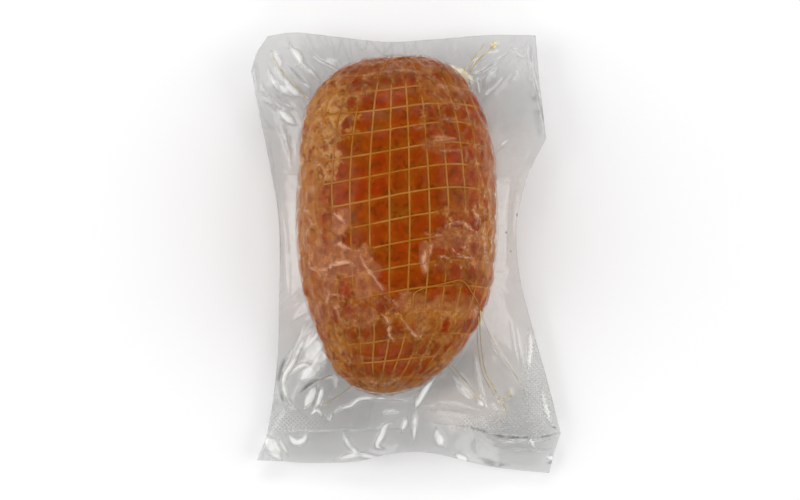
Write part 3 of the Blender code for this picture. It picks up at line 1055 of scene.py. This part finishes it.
def stretched_grid(bm):
    """Places of a unit grid's vertices, stretched between the four edges of the bag, seen from above."""
    at = np.array([v.co for v in bm.verts])
    u, v = at[:, 0] + 0.5, at[:, 1] + 0.5
    corner = [edge_at(BOTTOM_EDGE, np.array([0.0])), edge_at(BOTTOM_EDGE, np.array([1.0])),
              edge_at(TOP_EDGE, np.array([0.0])), edge_at(TOP_EDGE, np.array([1.0]))]
    across = (1 - v)[:, None] * edge_at(BOTTOM_EDGE, u) + v[:, None] * edge_at(TOP_EDGE, u)
    upward = (1 - u)[:, None] * edge_at(LEFT_EDGE, v) + u[:, None] * edge_at(RIGHT_EDGE, v)
    weights = [(1 - u) * (1 - v), u * (1 - v), (1 - u) * v, u * v]
    return across + upward - sum(w[:, None] * c for w, c in zip(weights, corner))


def bearing_tables():
    """For bearings round the breast: how far off its outline and the bag's edge are."""
    share = np.linspace(0, 1, BEARINGS)
    edges = [edge_at(parts, share) for parts in (TOP_EDGE, RIGHT_EDGE, BOTTOM_EDGE, LEFT_EDGE)]
    edge = np.vstack(edges)
    away = edge[:, :2] - np.array(BREAST_CENTRE)
    bearing = np.arctan2(away[:, 1], away[:, 0])
    order = np.argsort(bearing)
    t = np.linspace(-1, 1, BEARINGS)
    side = outline_width(t) * BREAST_WIDTH / 2
    outline = np.vstack([np.column_stack([side, t]), np.column_stack([-side, t])])
    outline[:, 1] *= BREAST_LENGTH / 2
    turn = np.arctan2(outline[:, 1], outline[:, 0])
    by_turn = np.argsort(turn)
    return {
        "edge": (bearing[order], np.hypot(*away[order].T), edge[order, 2]),
        "breast": (turn[by_turn], np.hypot(*outline[by_turn].T)),
    }


TABLES = bearing_tables()


def from_breast(places):
    """How far beyond the breast, the share of the way to the bag's edge, and that edge's height."""
    away = places[:, :2] - np.array(BREAST_CENTRE)
    bearing, distance = np.arctan2(away[:, 1], away[:, 0]), np.hypot(*away.T)
    turns, reaches = TABLES["breast"]
    edge_turns, edge_reaches, edge_heights = TABLES["edge"]
    reach = np.interp(bearing, turns, reaches, period=2 * math.pi)
    edge_reach = np.interp(bearing, edge_turns, edge_reaches, period=2 * math.pi)
    edge_height = np.interp(bearing, edge_turns, edge_heights, period=2 * math.pi)
    share = np.clip((distance - MARGIN_TUCK * reach) / (edge_reach - MARGIN_TUCK * reach), 0, 1)
    return distance - reach, share, edge_height


# %% [markdown]
# ### Creases
# Each crease is a line on the film, given one by one: where it runs, how wide and how high it is,
# and how white it is painted, partly for the whiter doubled film and partly as a painted highlight,
# or how dark as a painted shade. It is raised as a soft ridge, or sunk where its height is below 0.
# Small ones need only two or three points, so the list stays easy to change.

# %% Creases
# Width and height in mm, whiteness of doubled film and painted highlight (painted shade below 0), then the
# points (x, y) in mm
CREASES = (
    # far left corner
    (1.1, 1.3, 0.8, ((-66, 119), (-62, 111), (-57, 104), (-51, 98), (-44, 90))),
    (0.8, 0.8, 0.55, ((-60, 117), (-50, 107), (-41, 102), (-33, 97))),
    (1.4, 0.9, 0.35, ((-80, 96), (-77, 88), (-68, 80), (-59, 80))),
    (1.6, 1.3, 0.7, ((-72, 108), (-70, 99), (-64, 92), (-55, 84))),
    (1.3, 1.0, 0.55, ((-76, 103), (-72, 92), (-64, 85))),
    (1.0, 1.0, 0.5, ((-82, 85), (-75, 83), (-71, 78))),
    (2.0, 1.6, 0.95, ((-71, 79), (-66, 75), (-60, 70))),
    (1.0, 0.8, 0.35, ((-72, 71), (-66, 60), (-63, 46))),
    (2.0, 0.8, 0.25, ((-82, 106), (-83, 99), (-81, 88))),
    (1.4, 0.7, 0.3, ((-60, 109), (-55, 101), (-50, 95))),
    (1.8, 1.0, 0.6, ((-75, 112), (-70, 106), (-69, 99))),
    (1.2, 1.0, 0.65, ((-67, 113), (-61, 111), (-58, 106), (-62, 101))),
    (2.0, 1.3, 0.85, ((-68, 95), (-62, 89), (-55, 85))),
    (1.6, 1.2, 0.8, ((-74, 97), (-69, 91), (-61, 85))),
    (1.0, -0.9, -0.35, ((-66, 104), (-60, 98), (-52, 90))),
    (1.0, -0.9, -0.3, ((-79, 93), (-70, 86), (-60, 79))),
    (1.0, 0.9, 0.5, ((-70, 74), (-66, 62), (-63, 50))),
    (0.8, -0.7, -0.3, ((-68, 76), (-64, 64), (-61.5, 52))),
    # left side
    (2.4, 0.35, 0.15, ((-78, 74), (-71, 30), (-67, -25))),
    (1.6, 0.25, 0.12, ((-74, 62), (-66, 10), (-64, -30))),
    (1.3, -0.25, -0.15, ((-75, 66), (-69, 25), (-66, -20))),
    # far right corner
    (0.8, 0.9, 0.45, ((35, 98), (42, 100), (48, 105), (56, 111))),
    (0.7, 1.0, 0.7, ((34, 97), (36, 86))),
    (0.7, 1.0, 0.6, ((38.5, 97), (39, 86))),
    (2.6, 1.0, 0.4, ((41, 90), (45, 97), (50, 102))),
    (0.8, 0.9, 0.5, ((65, 112), (67, 101), (68, 93))),
    (1.0, 1.0, 0.7, ((69, 111), (69.5, 99), (71.5, 90), (74, 77), (75, 68))),
    (2.4, -0.9, -0.25, ((67, 119), (68, 100), (71, 78), (72, 62))),
    (0.9, 0.9, 0.8, ((57, 114), (60, 110), (64, 107))),
    (0.8, 0.8, 0.75, ((59, 103), (60, 97))),
    (0.8, 0.8, 0.5, ((57.5, 100), (59, 97), (55, 94))),
    (1.2, 0.7, 0.3, ((44, 111), (36, 103), (33, 97))),
    # right side
    (1.3, 0.5, 0.2, ((62, 46), (59, 30), (57, 6))),
    (1.2, -0.5, -0.1, ((58, 50), (55, 28), (54, -10))),
    # near left corner
    (1.3, 1.7, 0.9, ((-52, -36), (-58, -50), (-63, -60), (-67, -66), (-68, -73), (-65, -81), (-57, -89))),
    (1.2, -1.2, -0.5, ((-56, -36), (-62, -50), (-68, -60), (-70.5, -70), (-68, -82), (-61, -91))),
    (1.0, 1.0, 0.5, ((-60, -44), (-65, -57), (-70, -66))),
    (1.2, 1.2, 0.85, ((-66, -67), (-60, -62), (-55, -60.5), (-50, -64))),
    (3.8, 0.5, 0.95, ((-58, -61), (-52, -53), (-45, -44))),
    (2.8, 0.7, 0.9, ((-54, -62), (-47, -56), (-42, -52))),
    (1.6, 0.9, 0.8, ((-57, -54), (-51, -46), (-47, -39))),
    (2.4, 0.8, 0.75, ((-63, -58), (-57, -50), (-51, -40))),
    (3.4, 0.4, 0.95, ((-60, -70), (-53, -64), (-46, -57))),
    (0.9, -1.0, -0.6, ((-60, -77), (-53, -71), (-46, -68))),
    (0.9, -1.0, -0.6, ((-52.5, -86), (-50, -79), (-48, -71))),
    (2.2, 1.2, 0.95, ((-58, -86), (-53, -78), (-50, -71))),
    (1.8, 1.0, 0.85, ((-51, -87), (-48.5, -79), (-45.5, -72))),
    (0.8, 1.2, 0.9, ((-54, -90), (-50, -86), (-46, -90))),
    (0.7, 1.0, 0.8, ((-45, -88), (-43, -91), (-41, -87))),
    (0.9, 1.1, 0.75, ((-45, -91), (-38, -85.5), (-31, -83), (-25, -79), (-10, -78.5), (4, -80))),
    (1.6, 0.8, 0.4, ((-73, -74), (-74, -87))),
    # heat-sealed band along the near edge
    (1.7, 1.4, 0.95, ((-67, -98), (-64, -102), (-61, -104), (-57, -102), (-55.5, -97))),
    (2.8, 1.1, 0.95, ((-79, -99), (-75, -106), (-69, -116))),
    (1.0, 1.0, 0.7, ((-75, -101), (-72, -107), (-69, -112))),
    (0.9, 0.9, 0.6, ((-73, -99), (-69, -106), (-65, -113))),
    (1.3, 1.2, 0.8, ((-35, -95), (-34, -101), (-31.5, -106), (-27, -110), (-24, -112))),
    (1.4, 0.9, 0.7, ((-43, -115), (-35, -112), (-27, -110.5), (-18, -111.5), (-9, -111))),
    (1.5, 1.5, 0.95, ((-7, -91), (-12, -94), (-14, -99), (-16.5, -105), (-12, -107))),
    (1.2, 1.1, 0.85, ((-0.5, -88), (-1.5, -93), (-3.5, -98))),
    (1.5, 0.8, 0.5, ((-15, -88), (-8, -85), (-3, -86))),
    (1.6, 2.0, 0.95, ((16.5, -64), (10.5, -72), (6, -80), (4, -85))),
    (1.1, 1.3, 0.85, ((4.5, -84), (4, -92), (3.5, -106))),
    (0.7, 1.0, 0.6, ((3, -78), (6, -79), (7, -82))),
    (2.0, 1.6, 1.0, ((16, -94.5), (17.5, -101), (20.5, -106))),
    (1.9, 1.3, 0.9, ((25.5, -109.5), (34, -114.5))),
    (2.4, 0.5, 0.3, ((38, -100), (39, -111))),
    (1.1, -0.9, -0.4, ((38, -112), (48, -116), (58, -117))),
    (0.7, 0.6, 0.35, ((-82, -96), (-60, -97), (-20, -96), (8, -95))),
    (0.8, -0.9, -0.6, ((6, -91), (22, -93.5), (37, -96), (48, -100), (58, -101.5), (72, -101.5),
                       (84, -99), (92, -97))),
    (0.6, 0.7, 0.6, ((42, -99.5), (50, -102.5), (58, -104), (72, -103.5), (83, -101.5))),
    (0.7, 0.6, 0.35, ((45, -105), (58, -107.5), (72, -108.5), (84, -107))),
    (0.8, 1.0, 0.8, ((67.5, -99), (69, -104), (71.5, -108.5))),
    (1.3, 1.0, 0.85, ((77, -112.5), (82, -113))),
    (0.7, -0.8, -0.5, ((77, -115.5), (82, -115.5))),
    # fan between the tip and the near right corner
    (2.0, 0.9, 0.45, ((23.5, -66), (31, -74), (38, -81))),
    (1.0, 1.2, 0.95, ((38.5, -80), (42.5, -84))),
    (1.6, 0.8, 0.35, ((36, -52), (38, -64), (41, -76), (47, -88))),
    (1.1, 0.5, 0.25, ((41, -40), (52, -57), (60, -68))),
    (1.4, 0.5, 0.2, ((4, -82), (22, -82), (42, -87))),
    (1.4, -0.5, -0.25, ((6, -85), (24, -86), (40, -90))),
    # near right side
    (1.3, 1.5, 0.9, ((67, -40), (67.5, -52), (66, -68))),
    (1.2, 1.3, 0.85, ((73.5, -72), (77, -86), (81, -97))),
    (0.7, 0.6, 0.4, ((59, -37), (62, -52), (64, -65))),
    (0.7, 0.6, 0.3, ((56, -34), (59, -50), (61, -62))),
    (0.7, -0.8, -0.6, ((76, -92), (80, -95), (84, -97))),
)

# %% [markdown]
# ### Where the loose threads run
# The film bulges over a thread that lies in it, so their places come before the film's heights.

# %% Thread ends in the bag
# Loose ends of the net's elastic thread: radius in mm, then the points (x, y) in mm
ARC = (0.34, ((2.8, -26.1), (3.3, -20.3), (9.0, -17.2), (19.9, -14.7), (26.8, -13.2), (30.6, -15.3),
              (33.9, -20.2), (36.8, -24.5), (39.3, -30.5)))
THREAD_ENDS = (
    (0.34, ((38.8, -29.6), (39.3, -34.8), (39.9, -44.1), (40.9, -53.4), (43.1, -64.4), (49.2, -75.9))),
    (0.28, ((38.0, -33.0), (38.2, -44.6), (39.3, -54.5), (42.0, -66.6), (48.1, -77.5))),
    (0.24, ((39.5, -31.0), (45.3, -44.1), (51.4, -54.5), (59.0, -65.5), (61.8, -71.0))),
    (0.24, ((22.3, -61.1), (30.5, -70.4), (38.2, -79.7))),
    (0.24, ((24.5, -60.5), (32.7, -69.9), (39.9, -79.2))),
    (0.34, ((52.5, -81.4), (55.2, -87.4))),
    (0.32, ((48.6, 117.6), (44.8, 112.1), (38.8, 106.7), (34.4, 100.1))),
    (0.26, ((42.0, 115.4), (39.3, 111.0), (34.4, 105.6), (31.1, 100.6))),
    (0.26, ((-48.9, -69.9), (-44.6, -67.1), (-40.7, -66.0))),
    (0.26, ((-46.2, -83.6), (-39.1, -78.6), (-33.1, -74.2), (-30.3, -71.5))),
    (0.2, ((-73.6, 108.3), (-70.3, 102.3), (-64.3, 95.7), (-58.8, 90.2), (-53.9, 84.7))),
)
# Knots: place, size of the loops and radius of the cord in mm
KNOTS = (((51.5, -80.0), 2.3, 0.5), ((56.0, -77.0), 1.8, 0.46), ((47.3, 114.8), 1.7, 0.42))

# %% [markdown]
# ### Heights of the film
# The film leaves the breast below its widest place, droops to the heights of the bag's edge and
# is never flat: pleats fan out from the breast, slow waves and a fine crumple run through all of it,
# and the creases come on top. The two films share these heights and stand a small gap apart.

# %% Margin heights
PLEAT_HEIGHT = 0.8 * MM
PLEAT_SEED = Vector((4.2, 0.6, 9.1))
PLEATS_ROUND = 7.0
FINE_PLEAT_HEIGHT = 0.16 * MM
FINE_PLEATS_ROUND = 24.0
WAVE_HEIGHT = 1.0 * MM
WAVE_SIZE = 24 * MM
CRUMPLE_HEIGHT = 0.18 * MM
CRUMPLE_SIZE = 5 * MM
BLOTCH_SIZE = 4 * MM
BULGE_OVER_THREAD = 0.5 * MM
BULGE_WIDTH = 3.5
KNOT_REACH = 1.6
KNOT_BULGE = 2
PLEAT_START = 6 * MM
FINE_PLEAT_START = 4 * MM
PLEAT_PAINTED_HIGHLIGHT = 0.12
FINE_PLEAT_PAINTED_HIGHLIGHT = 0.10
EVEN_HIGHLIGHT = 0.6
EVEN_SHADE = 0.3


def margin_relief(places):
    """Heights of the middle between the two films, and how white they are painted: doubled film and painted
    highlights on creases and pleats, with painted shade below 0.
    """
    beyond, share, edge_height = from_breast(places)
    droop = 1 - (1 - share) ** MARGIN_DROOP_POWER
    height = MARGIN_LEVEL + (edge_height - MARGIN_LEVEL) * droop
    away = places[:, :2] - np.array(BREAST_CENTRE)
    unit = away / np.linalg.norm(away, axis=1, keepdims=True)
    fan = np.column_stack([unit * PLEATS_ROUND, share * 1.2])
    fading = smooth(beyond / PLEAT_START) * (1 - smooth((share - 0.25) / 0.6))
    pleats = ridged(noise_at(fan, 1.0, PLEAT_SEED)) ** 2 * fading
    fan = np.column_stack([unit * FINE_PLEATS_ROUND, share * 2.0])
    flat = np.column_stack([places[:, :2], np.zeros(len(places))])
    patchy = smooth(noise_at(flat, 2 * WAVE_SIZE, LOOSE_SEED) * 3 + 0.3)
    patchy = patchy * smooth(beyond / FINE_PLEAT_START)
    fine_pleats = ridged(noise_at(fan, 1.0, PLEAT_SEED)) ** 2 * patchy
    waves = noise_at(flat, WAVE_SIZE, PLEAT_SEED)
    crumple = noise_at(flat, CRUMPLE_SIZE, PLEAT_SEED)
    height = height + PLEAT_HEIGHT * pleats + FINE_PLEAT_HEIGHT * fine_pleats
    height = height + WAVE_HEIGHT * waves + CRUMPLE_HEIGHT * crumple
    # Painted highlight: the crests of the pleats are painted whiter.
    double_film_and_painted_light = PLEAT_PAINTED_HIGHLIGHT * pleats + FINE_PLEAT_PAINTED_HIGHLIGHT * fine_pleats**3
    # Each crease paints the film whiter, for the doubled film and a painted highlight, or darker where its
    # whiteness is below 0, a painted shade.
    painted_shade = np.zeros(len(places))
    for width, rise, whiteness_and_painted_light, points in CREASES:
        profile = ridge(places, width, points)
        height = height + rise * MM * profile
        double_film_and_painted_light = np.maximum(double_film_and_painted_light, whiteness_and_painted_light * profile)
        painted_shade = np.maximum(painted_shade, -whiteness_and_painted_light * profile)
    # The painted highlight and painted shade are broken up in blotches.
    broken = smooth(noise_at(flat, BLOTCH_SIZE, LOOSE_SEED) * 1.5 + 0.75)
    double_film_and_painted_light = double_film_and_painted_light * (EVEN_HIGHLIGHT + (1 - EVEN_HIGHLIGHT) * broken)
    return height, double_film_and_painted_light - painted_shade * (EVEN_SHADE + (1 - EVEN_SHADE) * broken)


# %% Gap between the films
def film_gap(places):
    """How far the two films are apart: they part over the breast and over the loose threads."""
    beyond = from_breast(places)[0]
    gap = FILM_GAP + WEB_THICKNESS * np.exp(-np.maximum(beyond, 0) / WEB_REACH)
    for radius, points in THREAD_ENDS:
        gap = gap + BULGE_OVER_THREAD * ridge(places, BULGE_WIDTH * radius, points)
    for (x, y), size, _ in KNOTS:
        off = np.hypot(places[:, 0] / MM - x, places[:, 1] / MM - y) / (KNOT_REACH * size)
        gap = gap + KNOT_BULGE * size * MM * np.exp(-(off**2))
    return gap


# %% Margin mesh
def margin_piece():
    """Both films of the margin as one closed shell: the grid, thickened and then raised."""
    bm = bmesh.new()
    width, length = ((cad_box[1][axis] - cad_box[0][axis]) / MARGIN_PITCH for axis in (0, 1))
    bmesh.ops.create_grid(bm, x_segments=round(width), y_segments=round(length), size=0.5)
    places = stretched_grid(bm)
    put(bm, places)
    from_centre = np.hypot(*(places[:, :2] - np.array(BREAST_CENTRE)).T)
    hidden = from_centre < MARGIN_CUT * (from_centre - from_breast(places)[0])
    bmesh.ops.delete(bm, geom=[v for v, inside in zip(bm.verts, hidden) if inside], context="VERTS")
    upper_count = len(bm.verts)
    bmesh.ops.solidify(bm, geom=bm.faces[:], thickness=FILM_GAP)
    places = np.array([v.co for v in bm.verts])
    middle, double_film_and_painted_light = margin_relief(places)
    side = np.where(np.arange(len(places)) < upper_count, 0.5, -0.5)
    places[:, 2] = middle + side * film_gap(places)
    put(bm, places)
    made = piece("film_margin", bm, margin_finish())
    mark(made, "double_film_and_painted_light", double_film_and_painted_light)
    return made


# %% [markdown]
# ### Finish of the margin
# One side of a vacuum bag is embossed with fine diamonds so that air can leave. They show where
# the film is taut near the seal, so the pattern is a group that any film could use, and soft
# patches say where it is seen; the diamonds bump the film and are painted whiter as painted glints.
# Elsewhere patches paint the film rosy near the meat, a painted reflection of light bounced from the
# meat, and add a strip of tiny bubbles, and the creases whiten or darken it by the number kept at
# each vertex: whiter doubled film with a painted highlight, or a painted shade.

# %% Embossing group
EMBOSS_PITCH = 2.4 * MM


def embossing_group():
    """Raised diamonds from two crossing waves."""
    tree, given, result = new_group("embossing", [("Place", "Vector", (0, 0, 0))], [("Height", "Float")])
    parts = node(tree, "SeparateXYZ", i0=given["Place"])
    waves = [calc(tree, "SINE", times(tree, parts.outputs[axis], 2 * math.pi / EMBOSS_PITCH))
             for axis in ("X", "Y")]
    crossed = times(tree, waves[0], waves[1])
    tree.links.new(between(tree, crossed, -0.2, 0.9), result.inputs["Height"])
    return tree


EMBOSSING = embossing_group()
# Where the embossing shows, as bumps and painted glints: centre and radii in mm, and how strongly
EMBOSSED = (
    ((72, -72, 10), (9, 30, 40), 1.6),
    ((46, -93, 10), (32, 7, 40), 0.8),
    ((-66, -93, 10), (22, 7, 40), 0.5),
)

# %% Margin colours
MARGIN_GLOSS = 0.09
MARGIN_INDEX = 1.33
FILM_GREY = (0.32, 0.325, 0.315)
FILM_ROSY_BOUNCE = (0.66, 0.60, 0.555)
FILM_WHITE_AND_HIGHLIGHT = (0.92, 0.92, 0.90)
FILM_PAINTED_SHADE = (0.13, 0.13, 0.13)
# Where tiny bubbles show in it: centre and radii in mm
BUBBLY = ((58, 18, 15), (9, 26, 40))
# Where the film is painted rosy, a painted reflection of light bounced from the meat: centre and radii in
# mm
ROSY_BOUNCE_PATCHES = (
    ((52, -5, 15), (25, 95, 60)),
    ((-58, 10, 15), (14, 75, 60)),
    ((32, -84, 15), (30, 16, 60)),
)

# %% Margin finish
BUBBLE_SCALE = 170.0
MILK_SCALE = 38.0
MILKINESS = 0.15


def margin_finish():
    made, tree, place, milky, milky_and_painted_light_share, gloss = film_material("film_margin", MARGIN_GLOSS, MARGIN_INDEX)
    double_film_and_painted_light = attribute(tree, "double_film_and_painted_light")
    emboss = use_group(tree, EMBOSSING, Place=place)["Height"]
    shown = 0.0
    for centre, radii, strength in EMBOSSED:
        spot = times(tree, patch(tree, place, centre, radii, 1.0, 60.0), strength)
        shown = calc(tree, "MAXIMUM", spot, shown)
    dots = times(tree, emboss, shown)
    # Painted glints: the embossed diamonds are also painted whiter.
    double_film_and_painted_light = plus(tree, double_film_and_painted_light, times(tree, dots, 0.4))
    # Painted bounce light: the film is tinted rosy beside the meat.
    rosy_bounce = 0.0
    for centre, radii in ROSY_BOUNCE_PATCHES:
        rosy_bounce = calc(tree, "MAXIMUM", patch(tree, place, centre, radii, 1.0, 40.0), rosy_bounce)
    tint = mix(tree, rosy_bounce, FILM_GREY, FILM_ROSY_BOUNCE)
    bubble = node(tree, "TexVoronoi", Vector=place, Scale=BUBBLE_SCALE).outputs["Distance"]
    bubbly = patch(tree, place, *BUBBLY, 1.0, 60.0)
    bubble = times(tree, between(tree, bubble, 0.1, 0.2, 0.45, 0.0), bubbly)
    double_film_and_painted_light = calc(tree, "SUBTRACT", double_film_and_painted_light, bubble)
    # Painted highlight above 0 and painted shade below 0: the creases turn the film white or dark.
    tint = mix(tree, between(tree, double_film_and_painted_light, 0.0, 0.7), tint, FILM_WHITE_AND_HIGHLIGHT)
    tint = mix(tree, between(tree, double_film_and_painted_light, 0.0, -0.7), tint, FILM_PAINTED_SHADE)
    tree.links.new(tint, milky.inputs["Base Color"])
    aslant = node(tree, "LayerWeight", Blend=0.3).outputs["Facing"]
    cloud = noise_texture(tree, place, MILK_SCALE, 3.0)
    # The painted light also makes the film less clear where it is strong.
    creased_and_painted_light = calc(tree, "ABSOLUTE", double_film_and_painted_light)
    share = plus(tree, times(tree, creased_and_painted_light, 0.7), times(tree, cloud, 0.08))
    share = plus(tree, share, times(tree, aslant, 0.35))
    tree.links.new(calc(tree, "ADD", share, MILKINESS, clamp=True), milky_and_painted_light_share)
    roughen(tree, dots, 0.25 * MM, (*gloss, milky))
    return made


margin = margin_piece()
print("margin faces", len(margin.data.polygons))

# %% [markdown]
# ## Loose threads and knots
# Ends of the net's thread are caught in the bag: knotted at both far ends of the breast, slack over
# its side and frayed at the shoulder. Each is a thin cord. On the breast it is dropped onto the film
# from above, and beyond it the cord runs between the two films.

# %% Loose threads
def thread_places(points):
    """Places of a loose thread for its points seen from above, in mm."""
    flat = curve_through(points) * MM
    line = np.column_stack([flat, np.zeros(len(flat))])
    line[:, 2] = margin_relief(line)[0]
    for place in line:
        hit, spot, *_ = tight.ray_cast(Vector((place[0], place[1], 1.0)), Vector((0, 0, -1)))
        if hit and spot.z > place[2]:
            place[2] = spot.z
    return line


# %% Knots
KNOT_POINTS = 72
KNOT_FLATNESS = 0.6


def trefoil(place, size, turn):
    """Places along a loose overhand knot."""
    t = np.linspace(0, 2 * math.pi, KNOT_POINTS, endpoint=False)
    x = (np.sin(t) + 2 * np.sin(2 * t)) / 3 * size
    y = (np.cos(t) - 2 * np.cos(2 * t)) / 3 * size
    z = -np.sin(3 * t) / 2 * size
    c, s = math.cos(turn), math.sin(turn)
    middle = np.array([[place[0], place[1], 0.0]]) * MM
    middle[:, 2] = margin_relief(middle)[0]
    return middle + np.column_stack([c * x - s * y, s * x + c * y, KNOT_FLATNESS * z]) * MM


# %% Frayed end
FRAY_START = (35.2, 95.4)
FRAY_MIDDLE = (30.2, 99.6)
FRAY_END = (24.3, 102.6)
FRAY_SPREAD = 2.6
FRAY_STRANDS = 24
FRAY_RADIUS = 0.17


def frayed():
    """Thin strands that spread from the end of a thread."""
    strands = []
    for i in range(FRAY_STRANDS):
        strand = []
        for stop, (x, y) in enumerate((FRAY_START, FRAY_MIDDLE, FRAY_END)):
            spot = Vector((i * 1.7, stop * 3.1, 0.5))
            aside = FRAY_SPREAD * noise.noise(spot)
            onward = FRAY_SPREAD * noise.noise(spot + Vector((0, 0, 4)))
            strand.append((x + aside, y + onward))
        strands.append(strand)
    return strands


# %% [markdown]
# ### Finish of the loose ends
# The loose ends took up less smoke and no fat from the meat, so they are much paler than the net:
# the single threads are straw yellow, and the knots and the frayed cotton nearly cream.

# %% Twine finish
THREAD_STRAW = (0.58, 0.43, 0.17)
THREAD_PALE = (0.76, 0.64, 0.38)
TWINE_YELLOW = (0.86, 0.76, 0.46)
TWINE_CREAM = (0.98, 0.95, 0.82)
TWINE_STAIN_SCALE = 220.0
TWINE_TWIST_SCALE = 1500.0


def twine_finish(name, stained, pale):
    made, tree, shader, place = new_material(name, Roughness=0.7)
    stain = noise_texture(tree, place, TWINE_STAIN_SCALE, 3.0)
    twist = noise_texture(tree, place, TWINE_TWIST_SCALE, 2.0)
    colour = mix(tree, between(tree, stain, 0.4, 0.6), stained, pale)
    tree.links.new(colour, shader.inputs["Base Color"])
    roughen(tree, twist, 0.3 * MM, (shader,))
    return made


END_FINISH = twine_finish("loose_thread", THREAD_STRAW, THREAD_PALE)
TWINE_FINISH = twine_finish("knotted_twine", TWINE_YELLOW, TWINE_CREAM)

# %% Threads and knots
for number, (radius, points) in enumerate(THREAD_ENDS):
    end = cord_object(f"thread_end_{number}", [thread_places(points)], radius * MM, False, END_FINISH)
for number, (place, size, radius) in enumerate(KNOTS):
    knot = cord_object(f"knot_{number}", [trefoil(place, size, number)], radius * MM, True, TWINE_FINISH)
strands = [thread_places(strand) for strand in frayed()]
fray = cord_object("frayed_end", strands, FRAY_RADIUS * MM, False, TWINE_FINISH)
arc = cord_object("slack_thread", [thread_places(ARC[1])], ARC[0] * MM, False, NET_FINISH)
print("thread ends", len(THREAD_ENDS), "knots", len(KNOTS))
